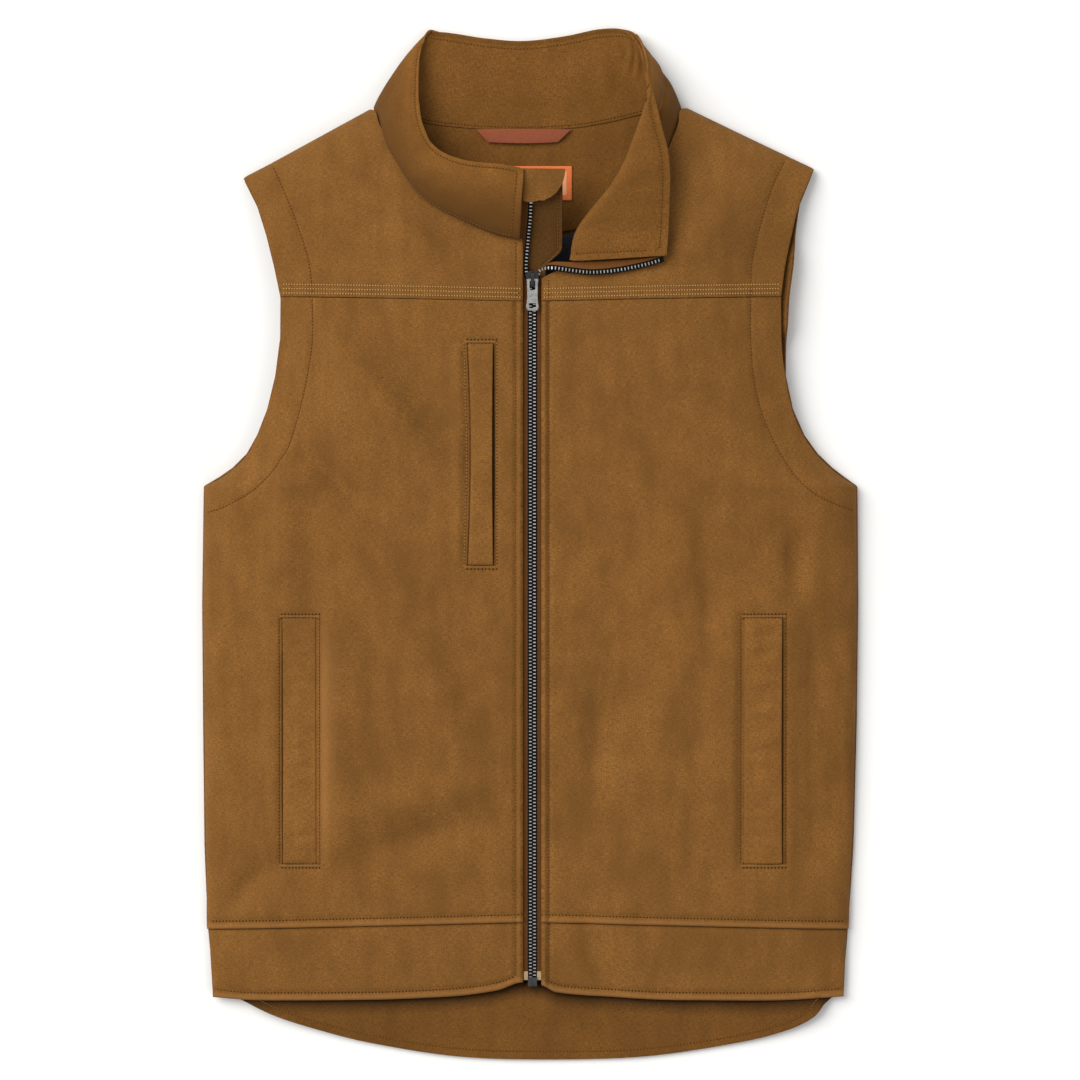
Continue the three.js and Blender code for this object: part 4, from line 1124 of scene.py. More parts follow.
def map_place(tree, name="flat"):
    return node(tree, "ShaderNodeUVMap", uv_map=name).outputs[0]


def object_place(tree):
    return node(tree, "ShaderNodeTexCoord").outputs["Object"]


def join(tree, target, **sockets):
    """Feeds a node's inputs; an underscore in a name stands for a space."""
    for title, socket in sockets.items():
        tree.links.new(socket, target.inputs[title.replace("_", " ")])


def between(tree, value, low, high):
    return node(tree, "ShaderNodeMapRange", {0: value, 1: low, 2: high, 3: 0.0, 4: 1.0}).outputs[0]


def shader_group(name, inputs, outputs):
    """A node group with its sockets; each socket is a name and a kind."""
    group = bpy.data.node_groups.new(name, "ShaderNodeTree")
    for title, kind in inputs:
        group.interface.new_socket(name=title, in_out="INPUT", socket_type=f"NodeSocket{kind}")
    for title, kind in outputs:
        group.interface.new_socket(name=title, in_out="OUTPUT", socket_type=f"NodeSocket{kind}")
    return group, group.nodes.new("NodeGroupInput"), group.nodes.new("NodeGroupOutput")


# Patterns in the finishes: stretches across, along and through, and each noise's scale and detail
SLUB_STRETCHES = ((1600.0, 300.0, 1.0), (290.0, 1450.0, 1.0))
STREAK_STRETCH = (75.0, 20.0, 1.0)
WEAR_SIZES = ((1300.0, 2.0), (14.0, 3.0), (55.0, 2.0))
SCRATCH_STRETCH = (3200.0, 260.0, 900.0)
HERRINGBONE = {"band": 0.0014, "slant": 1.2}


def weave_group():
    """Washed plain weave: uneven yarns, soft clouds of wear, and the height of the yarns."""
    inputs = (
        ("Vector", "Vector"), ("Yarn", "Float"), ("Colour", "Color"), ("Washed", "Color"), ("Deep", "Color"))
    outputs = (("Colour", "Color"), ("Roughness", "Float"), ("Height", "Float"))
    tree, given, result = shader_group("Washed weave", inputs, outputs)
    place, yarn, colour, washed, deep = (given.outputs[title] for title, _ in inputs)
    x, y, _ = split(tree, place)
    turns = maths(tree, "DIVIDE", math.pi, yarn)
    warp = maths(tree, "SINE", maths(tree, "MULTIPLY", x, turns))
    weft = maths(tree, "SINE", maths(tree, "MULTIPLY", y, turns))
    yarns = maths(tree, "MULTIPLY_ADD", maths(tree, "MULTIPLY", warp, weft), 0.5, 0.5)
    across, along = (speckle(tree, place, 1.0, 1.0, stretch) for stretch in SLUB_STRETCHES)
    slubs = maths(tree, "MULTIPLY", maths(tree, "ADD", across, along), 0.5)
    streaks = speckle(tree, place, 1.0, 2.0, STREAK_STRETCH)
    grain, clouds, patches = (speckle(tree, place, *size) for size in WEAR_SIZES)
    broad = weighted(tree, clouds, 0.45, patches, 0.2)
    worn = maths(tree, "ADD", broad, maths(tree, "MULTIPLY", streaks, 0.35))
    fine = weighted(tree, slubs, 0.6, grain, 0.4)
    base = blended(tree, between(tree, worn, 0.39, 0.61), colour, washed)
    tinted = blended(tree, between(tree, fine, 0.62, 0.36), base, deep)
    join(tree, result,
         Colour=blended(tree, maths(tree, "MULTIPLY", yarns, 0.18), tinted, washed),
         Roughness=maths(tree, "MULTIPLY_ADD", fine, 0.16, 0.78),
         Height=weighted(tree, yarns, 0.55, fine, 0.9))
    return tree


def metal_group():
    """Tarnished plating: brighter where rubbed, darker in patches, with fine scratches."""
    inputs = (("Vector", "Vector"), ("Colour", "Color"), ("Tarnish", "Color"), ("Polish", "Float"))
    outputs = (("Colour", "Color"), ("Roughness", "Float"), ("Height", "Float"))
    tree, given, result = shader_group("Tarnished plating", inputs, outputs)
    place, colour, tarnish, polish = (given.outputs[title] for title, _ in inputs)
    patches = between(tree, speckle(tree, place, 260.0, 3.0), 0.35, 0.68)
    scratches = speckle(tree, place, 1.0, 2.0, SCRATCH_STRETCH)
    join(tree, result, Colour=blended(tree, patches, colour, tarnish))
    rough = maths(tree, "ADD", polish, maths(tree, "MULTIPLY", patches, 0.16))
    rough = maths(tree, "ADD", rough, maths(tree, "MULTIPLY", scratches, 0.14))
    join(tree, result, Roughness=rough, Height=scratches)
    return tree


def tape_group():
    """Herringbone tape: slanting ribs that turn at each band."""
    inputs = (("Vector", "Vector"), ("Rib", "Float"), ("Colour", "Color"), ("Deep", "Color"))
    outputs = (("Colour", "Color"), ("Height", "Float"))
    tree, given, result = shader_group("Herringbone tape", inputs, outputs)
    place, rib, colour, deep = (given.outputs[title] for title, _ in inputs)
    x, y, _ = split(tree, place)
    turns = maths(tree, "DIVIDE", 2 * math.pi, rib)
    zigzag = maths(tree, "PINGPONG", x, HERRINGBONE["band"])
    slant = maths(tree, "ADD", y, maths(tree, "MULTIPLY", zigzag, HERRINGBONE["slant"]))
    ribs = maths(tree, "MULTIPLY_ADD", maths(tree, "SINE", maths(tree, "MULTIPLY", slant, turns)), 0.5, 0.5)
    lint = speckle(tree, place, 500.0, 2.0)
    share = weighted(tree, ribs, 0.5, lint, 0.5)
    join(tree, result, Colour=blended(tree, share, deep, colour),
         Height=maths(tree, "ADD", ribs, maths(tree, "MULTIPLY", lint, 0.4)))
    return tree


def rgba(colour, factor=1.0):
    return (*(min(part * factor, 1.0) for part in colour), 1.0)


def start_material(name, **sockets):
    """A material with its shader; sockets are the shader's even values."""
    material = bpy.data.materials.new(name)
    material.use_nodes = True
    tree = material.node_tree
    tree.nodes.clear()
    shader = node(tree, "ShaderNodeBsdfPrincipled")
    for title, value in sockets.items():
        shader.inputs[title.replace("_", " ")].default_value = value
    node(tree, "ShaderNodeOutputMaterial", {"Surface": shader.outputs[0]})
    return material, tree, shader


def toned(colour, factor, more=0.0):
    return [part * factor + more for part in colour]


def emboss(tree, shader, height, distance, strength):
    """Gives a finish a relief of a distance in metres."""
    relief_node = node(tree, "ShaderNodeBump", {"Height": height, "Distance": distance, "Strength": strength})
    join(tree, shader, Normal=relief_node.outputs[0])


def feed(tree, shader, source, distance, strength):
    """Gives a shader the colour, roughness and relief of a shared node group."""
    join(tree, shader, Base_Color=source.outputs["Colour"])
    if "Roughness" in source.outputs:
        join(tree, shader, Roughness=source.outputs["Roughness"])
    emboss(tree, shader, source.outputs["Height"], distance, strength)


def placed(tree, name, build, inputs):
    """A shared node group, built at its first use, with its inputs."""
    return node(tree, "ShaderNodeGroup", inputs, node_tree=bpy.data.node_groups.get(name) or build())


def made_once(build):
    """Makes a material at its first use; after that it is found by its name."""
    def get(name, *values, **options):
        return bpy.data.materials.get(name) or build(name, *values, **options)
    return get


# Painted light, shade and wear on the duck: a paler rim at the hem that is partly painted highlight and
# partly wear, a painted highlight beside the right pocket, painted shadow under the hem and painted shade low
# on the collar; bands from start to full, in metres from the hem or millimetres from the pocket
RIM = {"above": (0.0052, 0.0015), "below": (0.0, 0.0014), "share": 0.6}
PAINTED_HEM_SHADOW = {"below": (0.0, -0.014), "above": (0.01, 0.03), "light": 0.03}
POCKET_HIGHLIGHT = {"share": 0.4, "near": (1.0, 7.0), "far": (22.0, 5.0), "foot": (-4.0, 50.0), "head": (6.0, -30.0)}
PAINTED_COLLAR_SHADE = {"start": 0.25, "least": 0.22}


def pocket_highlight_band(tree):
    """Share of a painted highlight in a band beside the right hand pocket's sewn edge, where the cloth bulges
    toward the light.
    """
    (_, sewn), (foot, head), _ = WELTS["right_pocket_welt"]
    x, y, _ = split(tree, object_place(tree))
    share = POCKET_HIGHLIGHT["share"]
    for along, line, band in ((x, sewn, "near"), (x, sewn, "far"), (y, foot, "foot"), (y, head, "head")):
        start, end = ((line + reach) * MM for reach in POCKET_HIGHLIGHT[band])
        share = maths(tree, "MULTIPLY", between(tree, along, start, end), share)
    return share


@made_once
def duck_material(name, colour, yarn, light=1.0, painted_shade_height=None, rim=False, under=False):
    """Washed duck; below a given height on its flat pattern it is darker, as painted shade.

    It is paler along a rim at its hem, partly as a painted highlight and partly as wear, and paler in a
    painted highlight beside the right pocket; or it is darker close under another piece's hem, as a painted
    shadow.
    """
    material, tree, shader = start_material(
        name, Sheen_Weight=0.03, Sheen_Roughness=0.5, Specular_IOR_Level=0.12)
    place = map_place(tree)
    deep = rgba(colour, light * 0.4)
    weave = placed(tree, "Washed weave", weave_group, {
        "Vector": place, "Yarn": yarn, "Colour": rgba(colour, light * 0.84),
        "Washed": rgba(toned(colour, 1.26, 0.003), light), "Deep": deep})
    feed(tree, shader, weave, 0.00028, 0.7)
    woven = weave.outputs["Colour"]
    # Painted shade: below the given height on the flat pattern the colour is blended towards the deep colour,
    # darkest at the neck seam
    if painted_shade_height:
        up = split(tree, place)[1]
        limits = {0: up, 1: PAINTED_COLLAR_SHADE["start"] * painted_shade_height, 2: painted_shade_height, 3: PAINTED_COLLAR_SHADE["least"], 4: 1.0}
        share = node(tree, "ShaderNodeMapRange", limits, interpolation_type="SMOOTHSTEP").outputs[0]
        join(tree, shader, Base_Color=blended(tree, share, deep, woven))
    if rim or under:
        away = split(tree, map_place(tree, "hem"))[1]
        if rim:
            # Paler rim along the hem, partly painted highlight and partly wear, and a painted highlight
            # beside the right pocket
            above, below = (between(tree, away, *RIM[key]) for key in ("above", "below"))
            edge = maths(tree, "MULTIPLY", above, below)
            share = maths(tree, "MAXIMUM", maths(tree, "MULTIPLY", edge, RIM["share"]), pocket_highlight_band(tree))
            other = rgba(toned(colour, 1.36, 0.016), light)
        else:
            # Painted shadow: darker close under the other piece's hem, fading out further below and above it
            below = maths(tree, "POWER", between(tree, away, *PAINTED_HEM_SHADOW["below"]), 0.7)
            lit = maths(tree, "MAXIMUM", below, between(tree, away, *PAINTED_HEM_SHADOW["above"]))
            share = maths(tree, "SUBTRACT", 1.0, lit)
            other = rgba(colour, light * PAINTED_HEM_SHADOW["light"])
        join(tree, shader, Base_Color=blended(tree, share, woven, other))
    return material


# The duck's finishes: how light it is, some of it painted shade, whether it is an inside, and where it has
# wear and painted light or shade
DUCKS = {
    "washed_duck": {},
    # A paler rim at the hem, partly painted highlight and partly wear, with a painted highlight beside the
    # right pocket
    "washed_duck_hemmed": {"rim": True},
    "washed_duck_inside": {"inside": True, "light": 0.89},
    # A darker copy as painted shade, seen mostly on the tail, with painted shadow close under the hem
    "washed_duck_back": {"inside": True, "light": 0.78, "under": True},
    # Painted shade on the collar's outer face, darker low down towards the neck seam
    "washed_duck_collar": {"inside": True, "painted_shade_height": 0.072},
    # Half as light: painted shade for the wind flap deep in the neck opening
    "washed_duck_shaded": {"light": 0.5},
    "washed_duck_welt": {"light": 1.06},
    # Dark strips of painted shade: in the chest pocket's mouth, along the chest welt's fold and in the hand
    # pockets' mouths
    "pocket_shade": {"light": 0.12},
    "pocket_fold": {"light": 0.55},
    "pocket_line": {"light": 0.32},
}


def duck(name):
    """One of the duck's finishes."""
    cloth = bpy.context.scene.vest_cloth
    options = dict(DUCKS[name])
    colour = cloth.inside_colour if options.pop("inside", False) else cloth.colour
    return duck_material(name, colour, cloth.thread, **options)


@made_once
def lining_material(name, colour):
    material, tree, shader = start_material(name, Sheen_Weight=0.3, Sheen_Roughness=0.6)
    weave = placed(tree, "Washed weave", weave_group, {
        "Vector": map_place(tree), "Yarn": 0.0013, "Colour": rgba(colour), "Washed": rgba(colour, 1.7),
        "Deep": rgba(colour, 0.6)})
    feed(tree, shader, weave, 0.0005, 0.8)
    return material


@made_once
def tape_material(name, colour, rib=0.0011, cord_shade_width=0.0):
    """Herringbone tape, near black as painted shade over its cord under the teeth and just beside them, to
    that half width.
    """
    material, tree, shader = start_material(name, Roughness=0.85, Specular_IOR_Level=0.1)
    place = map_place(tree)
    tape = placed(tree, "Herringbone tape", tape_group, {
        "Vector": place, "Rib": rib, "Colour": rgba(colour, 1.25), "Deep": rgba(colour, 0.6)})
    feed(tree, shader, tape, 0.0002, 0.8)
    # Painted shade: near black over the cord under the teeth, fading just beside them
    if cord_shade_width:
        across = maths(tree, "ABSOLUTE", split(tree, place)[0])
        beside_cord_shade = between(tree, across, cord_shade_width * 0.9, cord_shade_width * 1.1)
        join(tree, shader, Base_Color=blended(tree, beside_cord_shade, CORD_SHADE_COLOUR, tape.outputs["Colour"]))
    return material


def label_material(colour):
    """Blank woven label: an orange border round a paler field."""
    material, tree, shader = start_material("blank_label", Roughness=0.6, Sheen_Weight=0.1)
    place = map_place(tree)
    x, y, _ = split(tree, place)

    def from_edge(part, half):
        from_middle = maths(tree, "ABSOLUTE", maths(tree, "SUBTRACT", part, half))
        return maths(tree, "SUBTRACT", half, from_middle)

    edges = [from_edge(part, size / 2) for part, size in zip((x, y), LABEL_SIZE)]
    field = between(tree, maths(tree, "MINIMUM", *edges), *LABEL_BORDER)
    tape = placed(tree, "Herringbone tape", tape_group, {
        "Vector": place, "Rib": 0.0008, "Colour": rgba(colour, 1.1), "Deep": rgba(colour, 0.75)})
    join(tree, shader, Base_Color=blended(tree, field, tape.outputs["Colour"], FIELD_COLOUR))
    emboss(tree, shader, tape.outputs["Height"], 0.0002, 0.6)
    return material


@made_once
def thread_material(name, colour, roughness):
    material, tree, shader = start_material(name, Roughness=roughness, Specular_IOR_Level=0.08)
    twist = speckle(tree, object_place(tree), 900.0, 2.0)
    join(tree, shader, Base_Color=blended(tree, twist, rgba(colour, 0.7), rgba(colour, 1.25)))
    emboss(tree, shader, twist, 0.0002, 0.5)
    return material


def metal_material(name, colour, polish):
    material, tree, shader = start_material(name, Metallic=1.0)
    plating = placed(tree, "Tarnished plating", metal_group, {
        "Vector": object_place(tree), "Colour": rgba(colour, 1.45), "Tarnish": rgba(colour, 0.7),
        "Polish": polish})
    feed(tree, shader, plating, 0.00006, 0.4)
    return material


def mottled_material(name, colour, scale, deep, light, **sockets):
    """An even surface with soft mottling between two shades of its colour."""
    material, tree, shader = start_material(name, **sockets)
    mottle = speckle(tree, object_place(tree), scale, 2.0)
    join(tree, shader, Base_Color=blended(tree, mottle, rgba(colour, deep), rgba(colour, light)))
    return material


# Pieces

EDGE_ROUNDING = 0.3
EDGE_ANGLE = math.radians(55)


def cloth_grid(cells, place, flat=None, fall=(0.0, 0.0), hem=None):
    """A sheet of cells, each point put where place says; flat gives its flat pattern, otherwise its plan.

    The plan is let out toward fall, where the sheet drops from the vest's crown. A second map holds the
    distance in plan from the line hem.
    """
    bm = bmesh.new()
    pattern = bm.loops.layers.uv.new("flat")
    beside_hem = bm.loops.layers.uv.new("hem") if hem else None
    bmesh.ops.create_grid(bm, x_segments=cells[0], y_segments=cells[1], size=0.5)
    shares = {vert: (vert.co.x + 0.5, vert.co.y + 0.5) for vert in bm.verts}
    for vert, (u, v) in shares.items():
        vert.co = place(u, v) * MM
    for face in bm.faces:
        face.smooth = True
        for loop in face.loops:
            u, v = shares[loop.vert]
            let_out = Vector(fall) * (CROWN_LEVEL - loop.vert.co.z)
            loop[pattern].uv = flat(u, v) if flat else loop.vert.co.xy + let_out
            if hem:
                loop[beside_hem].uv = loop.vert.co.x, loop.vert.co.y - hem(loop.vert.co.x / MM) * MM
    return bm


def new_piece(name, bm, materials):
    mesh = bpy.data.meshes.new(name)
    bm.to_mesh(mesh)
    bm.free()
    for material in materials:
        mesh.materials.append(material)
    piece = bpy.data.objects.new(name, mesh)
    bpy.context.scene.collection.objects.link(piece)
    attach(piece, BODY)
    return piece


def pattern_area(bm):
    """Area of the flat pattern that the UV map holds, in square metres."""
    pattern = bm.loops.layers.uv["flat"]
    area = 0.0
    for face in bm.faces:
        corners = [loop[pattern].uv for loop in face.loops]
        area += abs(sum(a.cross(b) for a, b in zip(corners, corners[1:] + corners[:1]))) / 2
    return area


def cloth_piece(name, bm, materials, thick, flat, node_name,
                offset=-1.0):
    """A sheet of cloth with its thickness and rounded edges; flat, the size of the piece it is cut from, is
    not used.
    """
    area = pattern_area(bm)
    piece = new_piece(name, bm, materials)
    wall = piece.modifiers.new("Thickness", "SOLIDIFY")
    wall.thickness = thick
    wall.offset = offset
    wall.use_even_offset = False
    wall.use_quality_normals = True
    wall.material_offset = 1 if len(materials) > 1 else 0
    edge = piece.modifiers.new("Edges", "BEVEL")
    edge.width = thick * EDGE_ROUNDING
    edge.segments = 2
    edge.limit_method = "ANGLE"
    edge.angle_limit = EDGE_ANGLE
    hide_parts(node_name)
    return piece


class MakeBack(bpy.types.Operator):
    """Make the back with its drop tail, the neck facing and the lining"""
    bl_idname = "vest.make_back"
    bl_label = "Back"

    def execute(self, context):
        cloth = context.scene.vest_cloth
        bm = cloth_grid((120, 190), back_surface(cloth), hem=hem_edge_line)
        cloth_piece("back_cloth", bm, [duck("washed_duck_back"), duck("washed_duck")],
                    cloth.thickness, (0.56, 0.80), "back_panel")
        bm = cloth_grid((70, 36), facing_surface(NECK_FACING["height"]))
        cloth_piece("back_neck_facing_cloth", bm, [duck("washed_duck_inside")], THICK["facing"],
                    (0.23, 0.115), "back_neck_facing")
        bm = cloth_grid((60, 70), lining_surface(LINING["height"]))
        cloth_piece("back_lining_cloth", bm, [lining_material("navy_lining", cloth.lining_colour)],
                    THICK["lining"], (0.52, 0.64), "back_lining")
        return {"FINISHED"}


def make_panels(cloth, part, finish, cells, surface, flat, falls, hem=None):
    """A right and a left panel of the front, lined."""
    materials = [duck(finish), lining_material("navy_lining", cloth.lining_colour)]
    for side in SIDES:
        bm = cloth_grid(cells, surface(side, cloth), fall=falls[side], hem=hem)
        cloth_piece(f"{side}_{part}_cloth", bm, materials, cloth.thickness, flat,
                    f"{side}_{part}")


class MakeFronts(bpy.types.Operator):
    """Make the two front panels below the chest seam"""
    bl_idname = "vest.make_fronts"
    bl_label = "Fronts"

    def execute(self, context):
        cloth = context.scene.vest_cloth
        cells = [int(length / cloth.cell) for length in FRONT_LENGTHS]
        make_panels(cloth, "front", "washed_duck_hemmed", cells, front_surface, (0.31, 0.54), OUTWARD,
                    hem_seam_line)
        return {"FINISHED"}


class MakeYokes(bpy.types.Operator):
    """Make the two front yokes above the chest seam"""
    bl_idname = "vest.make_yokes"
    bl_label = "Yokes"

    def execute(self, context):
        cloth = context.scene.vest_cloth
        make_panels(cloth, "yoke", "washed_duck", (84, 84), yoke_surface, (0.24, 0.21), UPWARD)
        return {"FINISHED"}


class MakeHemBands(bpy.types.Operator):
    """Make the two hem bands of the front"""
    bl_idname = "vest.make_hem_bands"
    bl_label = "Hem bands"

    def execute(self, context):
        cloth = context.scene.vest_cloth
        make_panels(cloth, "hem_band", "washed_duck_hemmed", (130, 36), hem_surface, (0.3, 0.07), OUTWARD,
                    hem_edge_line)
        return {"FINISHED"}


class MakeCollar(bpy.types.Operator):
    """Make the collar band in its two layers"""
    bl_idname = "vest.make_collar"
    bl_label = "Collar"

    def execute(self, context):
        cloth = context.scene.vest_cloth
        flat = (COLLAR_LENGTH * MM, 0.078)

        def pattern(u, v):
            return u * flat[0], v * flat[1]

        for name, layer, finish in (("collar_inner_cloth", 1, "washed_duck_inside"),
                                    ("collar_outer_cloth", -1, "washed_duck_collar")):
            bm = cloth_grid((300, 60), collar_surface(layer), pattern)
            cloth_piece(name, bm, [duck(finish)], cloth.collar_layer, flat, "collar",
                        offset=float(layer))
        return {"FINISHED"}


class MakeZipTapes(bpy.types.Operator):
    """Make the zip's tapes, the flap behind it and the small flap over its end"""
    bl_idname = "vest.make_zip_tapes"
    bl_label = "Zip tapes and flaps"

    def execute(self, context):
        zip_sizes = context.scene.vest_zip
        tape = tape_material("zip_herringbone", zip_sizes.tape_colour, cord_shade_width=0.0023)
        # The lapel's tape is a lighter copy of the zip tape, as painted light where it lies up on the lapel
        lapel_tape = tape_material("lapel_herringbone", toned(zip_sizes.tape_colour, 1.5), cord_shade_width=0.0026)
        near = TEETH["width"] / 2 + TAPE_EDGE["near"]
        far = near + TAPE_EDGE["far"]
        under, lapel_under = TAPE_EDGE["under"]
        rise = TEETH["sink"] - TAPE_SINK + TAPE_EDGE["rise"]
        open_at = (len(CLOSED_ROWS) + 1) / (len(CLOSED_ROWS) + len(UPPER_ROW["right"]))

        def right_far(v):
            return -far - lerp(TAPE_WIDTH, COLLAR_TAPE, ease(v, open_at, 1))

        def left_far(v):
            return far + lerp(TAPE_WIDTH, SLIDER_TAPE, ease(v, SLIDER_TAPE_START, 1))

        strips = (
            ("right_zip_tape", row_path("right"), right_far, lambda v: under,
             (10, 220), (0.0168, 0.68), tape),
            ("left_zip_tape", row_path("left", 2), lambda v: -under, left_far,
             (10, 190), (0.0168, 0.60), tape),
            ("lapel_zip_tape", lapel_path(), lambda v: -near - lapel_tape_width(v), lambda v: lapel_under,
             (8, 60), (0.0115, 0.105), lapel_tape),
        )
        for name, path, left, right, cells, flat, material in strips:
            def pattern(u, v):
                return lerp(left(v), right(v), u) * MM, v * flat[1]

            bm = cloth_grid(cells, strip_surface(path, left, right, rise), pattern)
            cloth_piece(f"{name}_cloth", bm, [material], THICK["tape"], flat, name)

        middle = flap_path()

        def flap_left(v):
            level = ease(middle(v).y, WIND_FLAP_TUCK["from"], WIND_FLAP_TUCK["to"])
            return lerp(WIND_FLAP_TUCK["x"], WIND_FLAP["left"], level) - CENTRE

        def flap(u, v):
            reach = lerp(WIND_FLAP["right"] - CENTRE, flap_left(v), u)
            piping = edge_bead(flap_left(v) - reach, **FLAP_PIPING)
            return beside(middle, v, reach) + Vector((0, 0, piping))

        bm = cloth_grid((44, 240), flap)
        cloth_piece("wind_flap_cloth", bm, [duck("washed_duck_shaded")], THICK["flap"],
                    (0.043, 0.67), "wind_flap")
        bm = cloth_grid((30, 26), garage_surface)
        cloth_piece("zip_garage_cloth", bm, [duck("washed_duck")], THICK["flap"],
                    (0.037, 0.029), "zip_garage")
        film_colour = toned(zip_sizes.end_colour, 0.7)
        film = mottled_material("tape_film", film_colour, 700.0, 0.8, 1.15, Roughness=0.5)
        for side in SIDES:
            set_material(f"{side}_tape_end", film)
        return {"FINISHED"}


def set_material(name, material):
    """Gives a carried-over solid its finish."""
    mesh = bpy.data.objects[name].data
    mesh.materials.clear()
    mesh.materials.append(material)


def tooth_mesh():
    """One tooth of size 1: a bevelled block, narrower at its head."""
    bm = bmesh.new()
    made = bmesh.ops.create_cube(bm, size=1.0)["verts"]
    for vert in made:
        if vert.co.x > 0:
            vert.co.y *= TOOTH["head"][0]
            vert.co.z *= TOOTH["head"][1]
    edges = {edge for vert in made for edge in vert.link_edges}
    bmesh.ops.bevel(bm, geom=list(edges), offset=TOOTH["bevel"], offset_type="OFFSET", segments=1,
                    profile=0.5, affect="EDGES", material=-1)
    mesh = bpy.data.meshes.new("tooth")
    bm.to_mesh(mesh)
    bm.free()
    return mesh


class MakeZipTeeth(bpy.types.Operator):
    """Make the single teeth of the zip's two rows"""
    bl_idname = "vest.make_zip_teeth"
    bl_label = "Zip teeth"

    def execute(self, context):
        zip_sizes = context.scene.vest_zip
        metal = metal_material("tooth_plating", zip_sizes.teeth_colour, 0.14)
        pitch = zip_sizes.pitch / MM
        mould = tooth_mesh()
        size = Matrix.Scale(MM, 4) @ Matrix.Diagonal((*TOOTH["size"], 1.0))
        for side in SIDES:
            points = evenly(row_path(side), pitch, 3000, exact=True)
            if side == "left":
                points = [a.lerp(b, 0.5) for a, b in zip(points, points[1:])]
            bm = bmesh.new()
            for i, point in enumerate(points):
                way = (points[min(i + 1, len(points) - 1)] - points[max(i - 1, 0)]).normalized()
                across = Vector((way.y, -way.x, 0)).normalized()
                up = across.cross(way).normalized()
                head = across if side == "right" else -across
                if side == "left":
                    turn = math.pi * ease(point.x, *LAPEL_TURN["x"]) if point.y > LAPEL_TURN["above"] else 0.0
                    head, up = (head * math.cos(turn) + up * math.sin(turn),
                                up * math.cos(turn) - head * math.sin(turn))
                shift = TOOTH["mesh"] if point.y < CLOSED_TOP else 0.0
                turned = Matrix((head, way if side == "right" else -way, up)).transposed().to_4x4()
                place = Matrix.Translation((point + head * shift) * MM) @ turned @ size
                first = len(bm.verts)
                bm.from_mesh(mould)
                bm.verts.ensure_lookup_table()
                bmesh.ops.transform(bm, matrix=place, verts=bm.verts[first:])
            bmesh.ops.recalc_face_normals(bm, faces=bm.faces)
            piece = new_piece(f"{side}_zip_teeth_row", bm, [metal])
            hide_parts(f"{side}_zip_teeth")
        bpy.data.meshes.remove(mould)
        return {"FINISHED"}


# Zip's solids: how light each is, and its roughness where it is rubbed
# The box is kept dark as painted shade, where it lies in the hem's shadow
ZIP_FINISHES = {"slider": (0.16, 0.2), "pull": (1.12, 0.24), "box": (0.2, 0.25)}


class MakeZipMetal(bpy.types.Operator):
    """Finish the zip's slider, pull and box"""
    bl_idname = "vest.make_zip_metal"
    bl_label = "Zip slider, pull and box"

    def execute(self, context):
        zip_sizes = context.scene.vest_zip
        for part, (light, polish) in ZIP_FINISHES.items():
            plating = metal_material(f"{part}_plating", toned(zip_sizes.metal_colour, light), polish)
            set_material(f"zip_{part}", plating)
        return {"FINISHED"}


class MakePocketWelts(bpy.types.Operator):
    """Make the pocket welts, and dark strips of painted shade in the pockets' mouths and along the chest
    welt's fold
    """
    bl_idname = "vest.make_pocket_welts"
    bl_label = "Pocket welts"

    def execute(self, context):
        cloth = context.scene.vest_cloth
        for name, (x, y, opening) in WELTS.items():
            chest = name.startswith("chest")
            kind = "chest_welt" if chest else "hand_welt"
            form = WELT_FORMS[kind]
            gape, bend = form["gape"], WELT_BOW[name]

            def level(place_x, place_y):
                return front_height(place_x, place_y) + crumple(place_x, place_y, cloth.crumple / MM)

            def welt(u, v):
                place_x, place_y = lerp(*x, u), lerp(*y, v)
                sewn = u if opening > 0 else 1 - u
                bow = (bend * (1 - sewn) - opening * WELT["gape_bow"] * gape * sewn) * half_wave(v)
                lift = lerp(*WELT["lift"], ease(sewn, 0.0, form["rise"]))
                from_end = min(v, 1 - v) * (y[1] - y[0])
                lift += edge_roll(from_end, WELT["end"], WELT["end_drop"])
                crease = form["crease"] * uneven(kind, place_x, place_y) * half_wave(u)
                return Vector((place_x + bow, place_y, level(place_x, place_y) + lift + crease))

            def beside_welt(middle, wide, bent):
                def at(u, v):
                    share = half_wave(clamp(v * 0.98 + 0.01))
                    place_x = middle + bent * share + (u - 0.5) * wide * share ** 0.6
                    place_y = lerp(*y, v)
                    height = level(place_x, place_y) + pocket_dip(place_x, place_y) + WELT["strip_rise"]
                    return Vector((place_x, place_y, height))
                return at

            open_edge, sewn_edge = (x[1], x[0]) if opening > 0 else x
            beside_edge = opening * WELT["strip_at"]
            # Dark strips of painted shade: one in the pocket's mouth, and for the chest pocket one along the
            # welt's sewn fold
            parts = [("mouth", form["mouth"], beside_welt(open_edge + beside_edge, gape, 0.0))]
            if chest:
                fold = beside_welt(sewn_edge - beside_edge, WELT["fold"], bend)
                parts.append(("fold", "pocket_fold", fold))
            for part, finish, place in parts:
                bm = cloth_grid((4, 84), place)
                strip = new_piece(name.replace("welt", part), bm, [duck(finish)])
                strip.modifiers.new("Thickness", "SOLIDIFY").thickness = THICK["strip"]
            flat = tuple((high - low + WELT["turning"]) * MM for low, high in (x, y))
            cloth_piece(f"{name}_cloth", cloth_grid((14, 84), welt), [duck("washed_duck_welt")],
                        THICK["welt"], flat, name)
        return {"FINISHED"}


